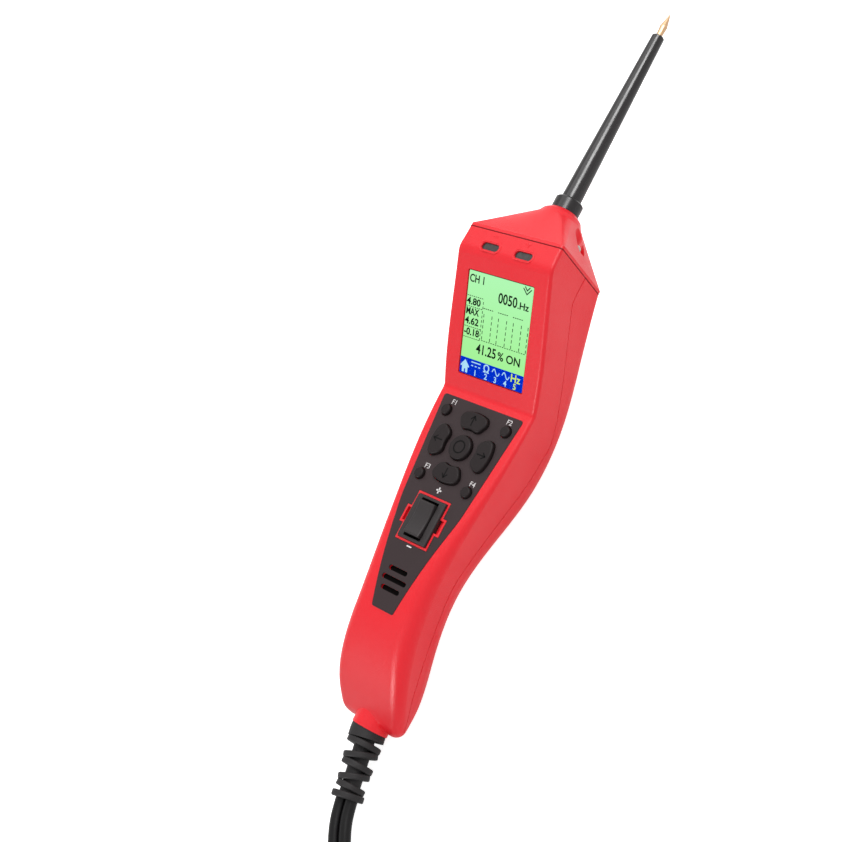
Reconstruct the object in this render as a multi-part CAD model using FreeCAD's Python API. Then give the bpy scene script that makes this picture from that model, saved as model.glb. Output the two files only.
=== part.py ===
import FreeCAD, Part
import math
import os

from FreeCAD import Placement, Rotation
from FreeCAD import Vector as V

# Hand-held circuit tester, lying on its back with the probe along +Y and the screen up.
# Millimetres. "Stations" are distances along the tool from the end of the tail boss.

# Overall layout
overall_length = 254.8
probe_axis_height = 43.5
wall = 2.0
fit_gap = 0.1
seam_groove_width = 0.3
seam_groove_depth = 0.5

# Side profile of the housing
band_length = 7.8
band_height = 59.6
band_corner_radius = 6.0
screen_slope = 34.2
fold_station = 111.6
fold_radius = 3.0
keypad_height = 33.1
grip_bend_station = 49.6
grip_bend_radius = 130.0
tail_bend_station = 18.5
tail_bend_drop = 6.6
tail_bend_radius = 55.0
heel_station = 1.5
heel_height = 9.2
heel_radius = 8.0

# Half-widths at the front edges and along the back, heights and radii of the back
joint_half_width = 19.5
head_half_width = 20.4
screen_half_width = 20.7
hump_half_width = 19.4
grip_half_width = 16.9
waist_half_width = 14.9
tail_half_width = 14.8
heel_half_width = 15.7
joint_back_half_width = 16.0
head_back_half_width = 15.4
screen_back_half_width = 15.2
hump_back_half_width = 12.6
grip_back_half_width = 11.2
waist_back_half_width = 11.2
tail_back_half_width = 11.2
heel_back_half_width = 11.6
joint_back_height = 26.0
joint_back_radius = 3.0
head_back_height = 15.0
head_back_radius = 7.0
screen_back_height = 4.8
hump_station = 92.3
resting_flat_depth = 0.3
hump_back_radius = 12.0
grip_back_height = 4.2
waist_station = 51.3
waist_back_height = 7.3
tail_back_height = 3.0
heel_back_station = 12.0
head_edge_radius = 1.1
grip_edge_radius = 3.2
tail_edge_radius = 4.8
heel_edge_radius = 3.4
cavity_edge_radius = 3.0

# Seam between the shells, on the side walls
seam_joint_height = 39.9
seam_joint_run = 9.6
seam_dip_station = 109.5
seam_dip_height = 13.0
seam_rise_station = 93.0
seam_grip_station = 53.0
seam_grip_height = 20.0
seam_tail_station = 15.0
seam_tail_height = 12.3

# Nose cap and probe
cap_skirt = 1.2
cap_round_run = 15.0
cap_round_radius = 7.9
cap_length = 18.1
cap_top_radius = 5.2
lamp_floor_run = 6.2
lamp_offset = 11.6
lamp_recess_radius = 3.2
lamp_radius = 1.5
collar_radius = 4.85
collar_length = 4.7
collar_gap = 0.15
collar_chamfer = 0.5
sleeve_base_radius = 3.4
sleeve_end_radius = 2.2
tip_length = 9.1
needle_radius = 1.05
tip_bulge_radius = 1.3
plug_radius = 2.0
plug_length = 17.0
plug_running_gap = 0.05
socket_radius = 3.4
socket_flange_radius = 5.0
socket_flange_thickness = 2.0

# Screen
window_width = 28.0
window_height = 35.0
window_up_from_fold = 5.7
window_depth = 1.0
window_lap = 1.6
panel_margin = 1.6
panel_thickness = 2.6
screen_board_thickness = 1.6
screen_board_margin = 0.6

# Indicators on the band
indicator_offset = 7.0
indicator_setback = 5.5
indicator_length = 7.1
indicator_width = 2.6
indicator_recess = 0.6
indicator_flange = 1.0

# Keypad overlay and keys
overlay_thickness = 0.5
overlay_proud = 0.1
overlay_top_station = 109.0
overlay_top_half_width = 17.3
overlay_bend_station = 72.0
overlay_bend_half_width = 13.1
overlay_end_station = 35.8
overlay_end_half_width = 4.7
pad_station = 93.5
centre_key_radius = 4.25
ring_inner_radius = 6.7
ring_outer_radius = 12.7
ring_half_angle = 31.0
ring_corner_radius = 2.2
key_proud = 1.5
key_gap = 0.3
key_flange = 0.6
key_flange_thickness = 0.8
key_travel = 0.9
key_top_radius = 0.6
stem_radius = 1.3
button_radius = 1.85
button_top_offset = 13.1
button_top_station = 103.7
button_low_offset = 10.4
button_low_station = 80.8
button_proud = 1.4

# Main board and what sits on it
board_drop = 6.8
board_thickness = 1.6
board_top_station = 110.0
board_top_half_width = 13.6
board_end_station = 34.0
board_end_half_width = 8.6
post_radius = 1.3
post_top_offset = 9.2
post_top_station = 108.0
post_low_offset = 8.8
post_low_station = 59.0
switch_size = 4.2
speaker_radius = 6.4
speaker_height = 2.6
speaker_station = 46.0
slot_pitch = 3.3
slot_height = 1.6
slot_length = 10.7
short_slot_length = 8.2
transistor_length = 10.0
transistor_width = 7.0
transistor_height = 3.0
transistor_station = 84.0

# Rocker switch
rocker_station = 67.1
rocker_width = 12.4
rocker_length = 15.5
rocker_proud = 1.25
rocker_floor = 1.6
rocker_opening_width = 7.4
rocker_opening_length = 13.6
rocker_rim = 0.9
rocker_cutout_length = 17.3
rocker_tab_half_width = 8.8
rocker_tab_length = 6.3
paddle_width = 6.7
paddle_length = 11.8
paddle_proud = 2.9
paddle_dish_radius = 22.0
paddle_depth = 5.3
rocker_pin_radius = 0.6
rocker_pin_drop = 1.3
pin_running_gap = 0.05
contact_thickness = 0.4

# Case screws
screw_head_radius = 2.4
screw_shank_radius = 1.2
screw_head_height = 1.8
screw_boss_radius = 2.9
screw_head_offset = 11.5
screw_head_setback = 6.0
screw_tail_offset = 7.2
screw_tail_station = 20.5
screw_sink = 1.0

# Tail boss and strain relief
cord_axis_height = 6.7
boss_radius = 6.4
boss_depth = 8.0
relief_root_radius = 4.4
relief_flange_radius = 5.8
relief_flange_thickness = 1.6
relief_collar_radius = 6.1
relief_collar_length = 3.6
relief_core_radius = 3.2
relief_lean = 13.1
relief_bend_radius = 8.0
relief_length = 23.5
relief_disc_radius = 5.45
relief_disc_thickness = 2.2
relief_ring_count = 5
relief_first_ring = 5.4
relief_ring_pitch = 3.55
relief_ring_thickness = 2.1
relief_ring_round = 0.55
relief_ring_tilt = 10.0
relief_ring_radius = 6.0
relief_last_ring_radius = 5.05
relief_front_turn = 39.0

# Supply cord, two cores side by side, its put-away hank and its plug
core_diameter = 4.1
cord_lift = 0.05
hank_end_half_width = 24.8
hank_step = 8.8
hank_layer_gap = 0.5
hank_run = 75.0
hank_waist = 2.5
hank_offset = -14.6
hank_centre_station = -135.1
tie_width = 12.0
tie_thickness = 1.2
tie_gap = 0.3
plug_body_length = 22.0
plug_body_width = 16.0
plug_body_height = 8.6
plug_pin_radius = 1.75
plug_pin_length = 8.0
plug_pin_offset = 3.6
plug_well_gap = 1.0
wire_radius = 1.4
cord_first_run = 4.7
cord_route = [
    (8.9, -33.6, 6.5),
    (13.4, -41.2, 5.2),
    (17.9, -52.5, 2.6),
    (19.0, -68.0, 2.1),
]

# Stations along the head that follow from the slope of the screen
band_start_station = fold_station + (band_height - keypad_height) / math.tan(math.radians(screen_slope))
joint_station = band_start_station + band_length
cap_round_station = joint_station + cap_round_run
cap_top_station = joint_station + cap_length
lamp_floor_station = joint_station + lamp_floor_run
indicator_station = joint_station - indicator_setback
screw_head_station = joint_station - screw_head_setback

doc = FreeCAD.newDocument("tester")
nodes = {}


def at(x, station, z):
    """A point from its station along the tool."""
    return V(x, station - overall_length / 2, z)


def line(a, b):
    return Part.LineSegment(a, b).toShape()


def arc(a, middle, b):
    return Part.Arc(a, middle, b).toShape()


def half_angle(before, corner, after):
    u = (before - corner).normalize()
    w = (after - corner).normalize()
    return math.acos(max(-1.0, min(1.0, u.dot(w)))) / 2


def corner_arc(before, corner, after, reach):
    """The ends and the middle of the arc that rounds a corner."""
    u = (before - corner).normalize()
    w = (after - corner).normalize()
    half = half_angle(before, corner, after)
    radius = reach * math.tan(half)
    middle = corner + (u + w).normalize() * (radius / math.sin(half) - radius)
    return corner + u * reach, middle, corner + w * reach


def rounded(corners, closed=True):
    """A wire through (point, radius) corners; a radius is limited by the sides beside it."""
    count = len(corners)
    points = [p for p, _ in corners]
    reach = []
    for i, (p, radius) in enumerate(corners):
        if radius == 0:
            reach.append(0.0)
            continue
        reach.append(radius / math.tan(half_angle(points[i - 1], p, points[(i + 1) % count])))
    sides = range(count if closed else count - 1)
    for i in sides:
        j = (i + 1) % count
        share = 0.98 * points[i].distanceToPoint(points[j]) / max(reach[i] + reach[j], 1e-9)
        if share < 1:
            reach[i] *= share
            reach[j] *= share
    edges = []
    ends = []
    for i, p in enumerate(points):
        if reach[i] == 0:
            ends.append((p, p))
            continue
        a, middle, b = corner_arc(points[i - 1], p, points[(i + 1) % count], reach[i])
        ends.append((a, b))
        edges.append(arc(a, middle, b))
    for i in sides:
        edges.append(line(ends[i][1], ends[(i + 1) % count][0]))
    return Part.Wire(Part.__sortEdges__(edges))


def prism(wire, along):
    return Part.Face(wire).extrude(along)


def block(x0, x1, s0, s1, z0, z1):
    corner = at(min(x0, x1), min(s0, s1), min(z0, z1))
    return Part.makeBox(abs(x1 - x0), abs(s1 - s0), abs(z1 - z0), corner)


def rod(start, direction, radius, length):
    return Part.makeCylinder(radius, length, start, direction)


def turned(profile, axis_point, axis):
    """A solid of revolution of a closed profile of points."""
    wire = Part.makePolygon(profile + [profile[0]])
    return Part.Face(wire).revolve(axis_point, axis, 360)


def probe_turned(points):
    """A revolve about the probe axis from (station, radius) points."""
    profile = [at(0, s, probe_axis_height + r) for s, r in points]
    return turned(profile, at(0, 0, probe_axis_height), V(0, 1, 0))


def biarc(p0, t0, p1, t1):
    """Two arcs from p0 to p1 that leave along t0 and arrive along t1."""
    v = p1 - p0
    both = v.dot(t0 + t1)
    spread = 2 * (1 - t0.dot(t1))
    if spread < 1e-9:
        d = v.dot(v) / (4 * v.dot(t1))
    else:
        d = (-both + math.sqrt(both * both + spread * v.dot(v))) / spread
    knots = [p0, p0 + t0 * d, None, p1 - t1 * d, p1]
    knots[2] = (knots[1] + knots[3]) * 0.5
    edges = []
    for a, q, b in (knots[0:3], knots[2:5]):
        chord = (a + b) * 0.5
        rise = (q - chord).Length
        half = a.distanceToPoint(b) / 2
        if rise < 1e-6 * half:
            edges.append(line(a, b))
            continue
        middle = chord + (q - chord) * (half * math.tan(math.atan2(rise, half) / 2) / rise)
        edges.append(arc(a, middle, b))
    return edges


def slot(x, station, z, length, height, along):
    """A prism with round ends, its length across the tool."""
    r = height / 2
    corners = [
        (at(x - length / 2, station - r, z), r),
        (at(x + length / 2, station - r, z), r),
        (at(x + length / 2, station + r, z), r),
        (at(x - length / 2, station + r, z), r),
    ]
    return prism(rounded(corners), along)


def keep(name, shape):
    """Stores a node's solids under its name."""
    solids = shape.Solids
    nodes[name] = solids[0] if len(solids) == 1 else Part.makeCompound(solids)


# Housing form
def side_corners():
    return [
        (at(0, joint_station, band_height), 0),
        (at(0, band_start_station, band_height), band_corner_radius),
        (at(0, fold_station, keypad_height), fold_radius),
        (at(0, grip_bend_station, keypad_height), grip_bend_radius),
        (at(0, tail_bend_station, keypad_height - tail_bend_drop), tail_bend_radius),
        (at(0, heel_station, heel_height), heel_radius),
        (at(0, heel_station, 0), 0),
        (at(0, joint_station, 0), 0),
    ]


def inset_corners(corners, inset):
    """The same side profile, a wall's thickness further in."""
    out = []
    for i, (p, radius) in enumerate(corners):
        a = (p - corners[i - 1][0]).normalize()
        b = (corners[(i + 1) % len(corners)][0] - p).normalize()
        normal_a = V(0, -a.z, a.y)
        normal_b = V(0, -b.z, b.y)
        moved = p + (normal_a + normal_b) * (inset / (1 + normal_a.dot(normal_b)))
        outward = a.y * b.z - a.z * b.y > 0
        if radius:
            radius = max(radius - inset, wall / 4) if outward else radius + inset
        out.append((moved, radius))
    return out


def side_prism(inset):
    reach = 2 * screen_half_width
    face = Part.Face(rounded(inset_corners(side_corners(), inset)))
    face.translate(V(-reach, 0, 0))
    return face.extrude(V(2 * reach, 0, 0))


def trough_section(station, half, front, back_half, back, radius):
    """One cross-section of the side walls and the rounded back, open well above the front."""
    top = band_height + wall
    lean = (half - back_half) / (front - back)
    top_half = half + lean * (top - front)
    corners = [
        (at(top_half, station, top), 0),
        (at(back_half, station, back), radius),
        (at(-back_half, station, back), radius),
        (at(-top_half, station, top), 0),
    ]
    return rounded(corners)


def trough(inset):
    past = 6 * wall
    rows = [
        (joint_station + past, joint_half_width, band_height, joint_back_half_width,
         joint_back_height + past / 3, joint_back_radius),
        (joint_station, joint_half_width, band_height, joint_back_half_width,
         joint_back_height, joint_back_radius),
        (joint_station - 20.1, head_half_width, band_height - 8.6, head_back_half_width,
         head_back_height, head_back_radius),
        (fold_station + 6.7, screen_half_width, keypad_height + 4.4, screen_back_half_width,
         screen_back_height, hump_back_radius),
        (hump_station, hump_half_width, keypad_height, hump_back_half_width,
         -resting_flat_depth, hump_back_radius),
        ((hump_station + waist_station) / 2 - 1.8, grip_half_width, keypad_height,
         grip_back_half_width, grip_back_height, hump_back_radius - 0.5),
        (waist_station, waist_half_width, keypad_height - 0.6, waist_back_half_width,
         waist_back_height, hump_back_radius - 1),
        (waist_station - 21.3, tail_half_width, keypad_height - 5.1, tail_back_half_width,
         tail_back_height, hump_back_radius - 1),
        (heel_back_station, heel_half_width, keypad_height - 15.1, heel_back_half_width,
         -resting_flat_depth, hump_back_radius - 2),
        (heel_station - past, heel_half_width, keypad_height - 20, heel_back_half_width,
         -resting_flat_depth, hump_back_radius - 2),
    ]
    sections = [
        trough_section(s, half - inset, front, back_half - inset, back + inset, radius - inset)
        for s, half, front, back_half, back, radius in rows
    ]
    return Part.makeLoft(sections, True, False)


def edge_radius(station):
    """Front edges are tight at the head and grow rounder along the grip."""
    stops = [
        (heel_station - heel_radius, heel_edge_radius),
        (heel_station + 2, heel_edge_radius),
        (tail_bend_station, tail_edge_radius),
        (tail_bend_station + 20, tail_edge_radius),
        (grip_bend_station + 12, grip_edge_radius),
        (fold_station - 2.6, head_edge_radius),
        (joint_station + heel_radius, head_edge_radius),
    ]
    for (s0, r0), (s1, r1) in zip(stops, stops[1:]):
        if s0 <= station <= s1:
            return r0 + (r1 - r0) * (station - s0) / (s1 - s0)
    return tail_edge_radius


def front_edges(solid, inset):
    """Edges where the extruded side profile meets the lofted walls, by their index."""
    found = []
    end = at(0, joint_station - inset, 0).y
    for index, edge in enumerate(solid.Edges, 1):
        faces = [f for f in solid.Faces if any(e.isSame(edge) for e in f.Edges)]
        lofted = [f for f in faces if isinstance(f.Surface, Part.BSplineSurface)]
        box = edge.BoundBox
        above = box.ZMax > inset + wall
        if len(faces) == 2 and len(lofted) == 1 and box.YMin < end - 0.01 and above:
            found.append((index, edge))
    return found


def housing_form():
    raw = trough(0).common(side_prism(0)).Solids[0]
    base = doc.addObject("Part::Feature", "raw_housing")
    base.Shape = raw
    radii = []
    for index, edge in front_edges(raw, 0):
        stations = [edge.valueAt(t).y + overall_length / 2 for t in edge.ParameterRange]
        ends = [edge_radius(station) for station in stations]
        # The edge left of the keypad is followed from its far end
        beside_keypad = waist_station < sum(stations) / 2 < fold_station
        if beside_keypad and edge.BoundBox.XMax < 0:
            ends.reverse()
        radii.append((index, ends[0], ends[1]))
    soft = doc.addObject("Part::Fillet", "soft_housing")
    soft.Base = base
    soft.Edges = radii
    doc.recompute()
    return soft.Shape.Solids[0]


def cavity_form():
    raw = trough(wall).common(side_prism(wall)).Solids[0]
    edges = [edge for _, edge in front_edges(raw, wall)]
    return raw.makeFillet(cavity_edge_radius, edges)


def seam_corners(shift):
    return [
        (at(0, joint_station + wall, seam_joint_height + shift), 0),
        (at(0, joint_station - seam_joint_run, seam_joint_height + shift), 6.0),
        (at(0, seam_dip_station, seam_dip_height + shift), 10.0),
        (at(0, seam_rise_station, seam_dip_height + shift), 60.0),
        (at(0, seam_grip_station, seam_grip_height + shift), 30.0),
        (at(0, seam_tail_station, seam_tail_height + shift), 10.0),
        (at(0, heel_station + 1, cord_axis_height + shift), 6.0),
        (at(0, -boss_depth, cord_axis_height + shift), 0),
    ]


def above_seam(shift):
    """Everything on the front side of the parting line."""
    top = band_height + 2 * wall
    reach = 2 * screen_half_width
    edges = list(rounded(seam_corners(shift), closed=False).Edges)
    first = seam_corners(shift)[0][0]
    last = seam_corners(shift)[-1][0]
    edges += [line(first, V(0, first.y, top)), line(V(0, first.y, top), V(0, last.y, top))]
    edges += [line(V(0, last.y, top), last)]
    face = Part.Face(Part.Wire(Part.__sortEdges__(edges)))
    face.translate(V(-reach, 0, 0))
    return face.extrude(V(2 * reach, 0, 0))


# Screen frame: x across, y up the screen, z out of it
def on_screen(shape):
    slope = math.radians(screen_slope)
    start = at(0, fold_station + window_up_from_fold * math.cos(slope),
               keypad_height + window_up_from_fold * math.sin(slope))
    shape.Placement = Placement(start, Rotation(V(1, 0, 0), screen_slope))
    return shape


def screen_slab(margin, top, bottom, radius):
    half = window_width / 2 + margin
    corners = [
        (V(-half, -margin, bottom), radius),
        (V(half, -margin, bottom), radius),
        (V(half, window_height + margin, bottom), radius),
        (V(-half, window_height + margin, bottom), radius),
    ]
    return on_screen(prism(rounded(corners), V(0, 0, top - bottom)))


# Keys: each is (name, outline maker, proud height)
def ring_key_outline(turn, grow, z):
    inner = ring_inner_radius - grow
    outer = ring_outer_radius + grow
    half = math.radians(ring_half_angle) + grow / ring_outer_radius
    centre = at(0, pad_station, z)

    def spot(radius, angle):
        return centre + V(radius * math.sin(turn + angle), radius * math.cos(turn + angle), 0)

    edges = [
        arc(spot(outer, -half), spot(outer, 0), spot(outer, half)),
        line(spot(outer, half), spot(inner, half)),
        arc(spot(inner, half), spot(inner, 0), spot(inner, -half)),
        line(spot(inner, -half), spot(outer, -half)),
    ]
    return Part.Wire(edges)


def ring_key_prism(turn, grow, z0, z1):
    solid = prism(ring_key_outline(turn, grow, z0), V(0, 0, z1 - z0))
    upright = [e for e in solid.Edges if e.BoundBox.ZLength > 0.9 * abs(z1 - z0)]
    return solid.makeFillet(ring_corner_radius + grow, upright)


def round_key_prism(x, station, radius, grow, z0, z1):
    return rod(at(x, station, z0), V(0, 0, 1), radius + grow, z1 - z0)


def key_list():
    keys = []
    for name, quarter in (("up_key", 0), ("right_key", 1), ("down_key", 2), ("left_key", 3)):
        turn = quarter * math.pi / 2
        middle = (ring_inner_radius + ring_outer_radius) / 2
        keys.append((name, lambda grow, z0, z1, t=turn: ring_key_prism(t, grow, z0, z1),
                     middle * math.sin(turn), pad_station + middle * math.cos(turn), key_proud))
    keys.append(("centre_key", lambda grow, z0, z1: round_key_prism(
        0, pad_station, centre_key_radius, grow, z0, z1), 0, pad_station, key_proud))
    for side, x in (("left", -1), ("right", 1)):
        for row, offset, station in (("upper", button_top_offset, button_top_station),
                                     ("lower", button_low_offset, button_low_station)):
            keys.append((f"{row}_{side}_button", lambda grow, z0, z1, x=x * offset, s=station:
                         round_key_prism(x, s, button_radius, grow, z0, z1),
                         x * offset, station, button_proud))
    return keys


key_under_wall = keypad_height - wall - fit_gap
board_top = keypad_height - board_drop
board_bottom = board_top - board_thickness
flange_bottom = key_under_wall - key_flange_thickness
stem_bottom = flange_bottom - 1.3
switch_top = stem_bottom - key_travel - fit_gap
key_cut_top = keypad_height + key_proud


def build_keys():
    for name, make, x, station, proud in key_list():
        body = make(0, flange_bottom, keypad_height + proud)
        top = [e for e in body.Edges if e.BoundBox.ZMin > keypad_height + proud - 0.01]
        body = body.makeFillet(key_top_radius, top)
        flange = make(key_flange, flange_bottom, key_under_wall)
        stem = rod(at(x, station, stem_bottom), V(0, 0, 1), stem_radius, flange_bottom - stem_bottom)
        keep(name, body.fuse([flange, stem]).removeSplitter())


# Rocker outlines
def rocker_outline(grow, z):
    half = rocker_width / 2 + rocker_rim + grow
    long = rocker_cutout_length / 2 + grow
    tab = rocker_tab_half_width + grow
    tab_half = rocker_tab_length / 2 + grow
    spots = [
        (half, long), (half, tab_half), (tab, tab_half), (tab, -tab_half), (half, -tab_half),
        (half, -long), (-half, -long), (-half, -tab_half), (-tab, -tab_half), (-tab, tab_half),
        (-half, tab_half), (-half, long),
    ]
    return Part.makePolygon([at(x, rocker_station + y, z) for x, y in spots + spots[:1]])


def overlay_prism(grow, z0, z1):
    outline = [
        (overlay_top_half_width, overlay_top_station, 1.0),
        (overlay_bend_half_width, overlay_bend_station, 40.0),
        (overlay_end_half_width, overlay_end_station, 0.8),
    ]
    right = [(at(x + grow, s, z0), r) for x, s, r in outline]
    left = [(at(-x - grow, s, z0), r) for x, s, r in reversed(outline)]
    return prism(rounded(right + left), V(0, 0, z1 - z0))


def speaker_slots(z0, z1):
    rows = ((slot_pitch, short_slot_length), (0, slot_length), (-slot_pitch, short_slot_length))
    return [slot(0, speaker_station + dy, z0, length, slot_height, V(0, 0, z1 - z0))
            for dy, length in rows]


def build_housing():
    form = housing_form()
    boss = rod(at(0, 0, cord_axis_height), V(0, 1, 0), boss_radius, boss_depth)
    cavity = cavity_form().cut(boss)
    bore = rod(at(0, -wall, cord_axis_height), V(0, 1, 0), relief_root_radius + fit_gap / 2,
               boss_depth + 2 * wall)
    socket_hole = rod(at(0, joint_station - 2 * wall, probe_axis_height), V(0, 1, 0),
                      socket_radius + fit_gap / 2, 4 * wall)
    hollow = form.fuse(boss).cut([cavity, bore, socket_hole])
    upper = above_seam(0)
    band = above_seam(-seam_groove_width / 2).cut(above_seam(seam_groove_width / 2))
    core = trough(seam_groove_depth).common(side_prism(seam_groove_depth)).Solids[0]
    groove = band.cut([core, boss])
    return (hollow.common(upper).cut(groove), hollow.cut(upper).cut(groove), cavity)


def screw_places():
    return [(sign * offset, station) for sign in (-1, 1)
            for offset, station in ((screw_head_offset, screw_head_station),
                                    (screw_tail_offset, screw_tail_station))]


def seam_height(station):
    """Height of the parting line at a station."""
    probe = line(at(0, station, -wall), at(0, station, band_height))
    edge = rounded(seam_corners(0), closed=False)
    return edge.distToShape(probe)[1][0][0].z


def back_height(form, x, station):
    probe = line(at(x, station, -wall), at(x, station, band_height))
    return probe.common(form).BoundBox.ZMin


def build_shells():
    front, rear, cavity = build_housing()
    high = band_height + wall
    # Keypad pocket, key holes, rocker hole and speaker slots
    pocket_floor = side_prism(0)
    pocket_floor.translate(V(0, 0, -overlay_thickness + overlay_proud))
    pocket = overlay_prism(fit_gap, 0, high).cut(pocket_floor)
    # A rib round the rocker, as high as the overlay, with a slot beside each side of the switch
    rib_foot = keypad_height - wall / 2
    rib_top = keypad_height + overlay_proud + fit_gap
    rib = prism(rocker_outline(-fit_gap, rib_foot), V(0, 0, rib_top - rib_foot))
    front = front.cut(pocket).fuse(rib)
    cuts = []
    for _, make, _, _, _ in key_list():
        cuts.append(make(key_gap, key_under_wall - wall, key_cut_top))
        cuts.append(make(key_flange + key_gap, flange_bottom - key_travel - key_gap, key_under_wall))
    cuts.append(block(-rocker_width / 2 - fit_gap, rocker_width / 2 + fit_gap,
                      rocker_station - rocker_length / 2 - fit_gap,
                      rocker_station + rocker_length / 2 + fit_gap, board_top, high))
    rib_inset = rocker_rim - fit_gap
    slot_half = rocker_tab_length / 2 - rib_inset
    for sign in (-1, 1):
        cuts.append(block(sign * rocker_width / 2, sign * (rocker_tab_half_width - rib_inset),
                          rocker_station - slot_half, rocker_station + slot_half, rib_foot, high))
    cuts += speaker_slots(board_top, high)
    # Screen opening with a ledge inside for the clear window
    cuts.append(screen_slab(0, 2 * wall, -2 * wall, 0.6))
    cuts.append(screen_slab(window_lap, -window_depth, -2 * wall, 0.6))
    # Indicator slots
    for sign in (-1, 1):
        cuts.append(slot(sign * indicator_offset, indicator_station, band_height - 2 * wall,
                         indicator_length, indicator_width, V(0, 0, 3 * wall)))
    front = front.cut(cuts)
    # Posts that carry the main board, and bosses that take the case screws
    posts = []
    for sign in (-1, 1):
        for offset, station in ((post_top_offset, post_top_station), (post_low_offset, post_low_station)):
            posts.append(rod(at(sign * offset, station, board_top), V(0, 0, 1), post_radius,
                             keypad_height - wall / 2 - board_top))
    screws = []
    holes = []
    for x, station in screw_places():
        low = back_height(rear, x, station)
        split = seam_height(station)
        boss = rod(at(x, station, low), V(0, 0, 1), screw_boss_radius, band_height).common(cavity)
        sink = low + screw_sink
        head_top = sink + screw_head_height
        length = split + 6 * screw_shank_radius - head_top
        screws.append(rod(at(x, station, sink), V(0, 0, 1), screw_head_radius, screw_head_height).fuse(
            rod(at(x, station, head_top), V(0, 0, 1), screw_shank_radius, length)))
        holes.append(rod(at(x, station, low - wall), V(0, 0, 1), screw_head_radius + fit_gap,
                         head_top - low + wall))
        holes.append(rod(at(x, station, head_top - wall), V(0, 0, 1), screw_shank_radius + fit_gap / 2,
                         length + 2 * wall))
        posts.append(boss.common(above_seam(0)))
        rear = rear.fuse(boss.cut(above_seam(0)))
    front = front.fuse(posts).cut(holes).removeSplitter()
    rear = rear.cut(holes).removeSplitter()
    keep("front_shell", front)
    keep("rear_shell", rear)
    keep("case_screws", Part.makeCompound(screws))


def build_overlay():
    proud = side_prism(0)
    proud.translate(V(0, 0, overlay_proud))
    under = side_prism(0)
    under.translate(V(0, 0, overlay_proud - overlay_thickness))
    plate = overlay_prism(0, 0, band_height).common(proud).cut(under)
    cuts = [make(key_gap, key_under_wall, key_cut_top) for _, make, _, _, _ in key_list()]
    cuts.append(prism(rocker_outline(0, board_top), V(0, 0, band_height)))
    cuts += speaker_slots(board_top, band_height)
    keep("keypad_overlay", plate.cut(cuts))


def build_screen():
    below = -window_depth
    keep("display_window", screen_slab(window_lap - fit_gap, below, -wall, 0.6))
    keep("display_panel", screen_slab(panel_margin, -wall, -wall - panel_thickness, 0.8))
    back = -wall - panel_thickness
    keep("display_board", screen_slab(screen_board_margin, back, back - screen_board_thickness, 0.8))
    # Flat ribbon from the lower end of the screen's board to the main board
    slope = math.radians(screen_slope)
    ribbon = 0.3
    under = back - screen_board_thickness
    up = window_up_from_fold + screen_board_margin
    start = at(0, fold_station + up * math.cos(slope) - under * math.sin(slope),
               keypad_height + up * math.sin(slope) + under * math.cos(slope))
    along = V(0, math.cos(slope), math.sin(slope))
    down = V(0, math.sin(slope), -math.cos(slope))
    land = at(0, board_top_station - 1.2, board_top)
    path = [start, start - along * 4.0, land]
    face = Part.makePolygon(path + [p + down * ribbon for p in reversed(path)] + [path[0]])
    strip = Part.Face(face)
    strip.translate(V(-6, 0, 0))
    keep("display_ribbon", strip.extrude(V(12, 0, 0)).cut(nodes["main_board"]))


def build_board():
    corners = [
        (at(board_top_half_width, board_top_station, board_bottom), 1.5),
        (at(board_top_half_width, pad_station, board_bottom), 10.0),
        (at(board_end_half_width, rocker_station - rocker_length / 2, board_bottom), 10.0),
        (at(board_end_half_width, board_end_station, board_bottom), 1.5),
    ]
    mirrored = [(V(-p.x, p.y, p.z), r) for p, r in reversed(corners)]
    keep("main_board", prism(rounded(corners + mirrored), V(0, 0, board_thickness)))
    half = switch_size / 2
    switches = []
    for _, _, x, station, _ in key_list():
        body = block(x - half, x + half, station - half, station + half, board_top, switch_top - 0.4)
        dome = rod(at(x, station, switch_top - 0.4), V(0, 0, 1), stem_radius, 0.4)
        switches.append(body.fuse(dome))
    keep("dome_switches", Part.makeCompound(switches))
    can = rod(at(0, speaker_station, board_top), V(0, 0, 1), speaker_radius, speaker_height)
    rim = [e for e in can.Edges if e.BoundBox.ZMin > board_top + speaker_height - 0.01]
    vent = rod(at(0, speaker_station, board_top + speaker_height - 0.8), V(0, 0, 1), 1.2, 1)
    keep("speaker", can.makeFillet(0.5, rim).cut(vent))
    parts = []
    for sign in (-1, 1):
        x = sign * (transistor_width / 2 + 0.8)
        parts.append(block(x - transistor_width / 2, x + transistor_width / 2,
                           transistor_station - transistor_length / 2,
                           transistor_station + transistor_length / 2,
                           board_bottom - transistor_height, board_bottom))
    keep("power_transistors", Part.makeCompound(parts))


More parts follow.
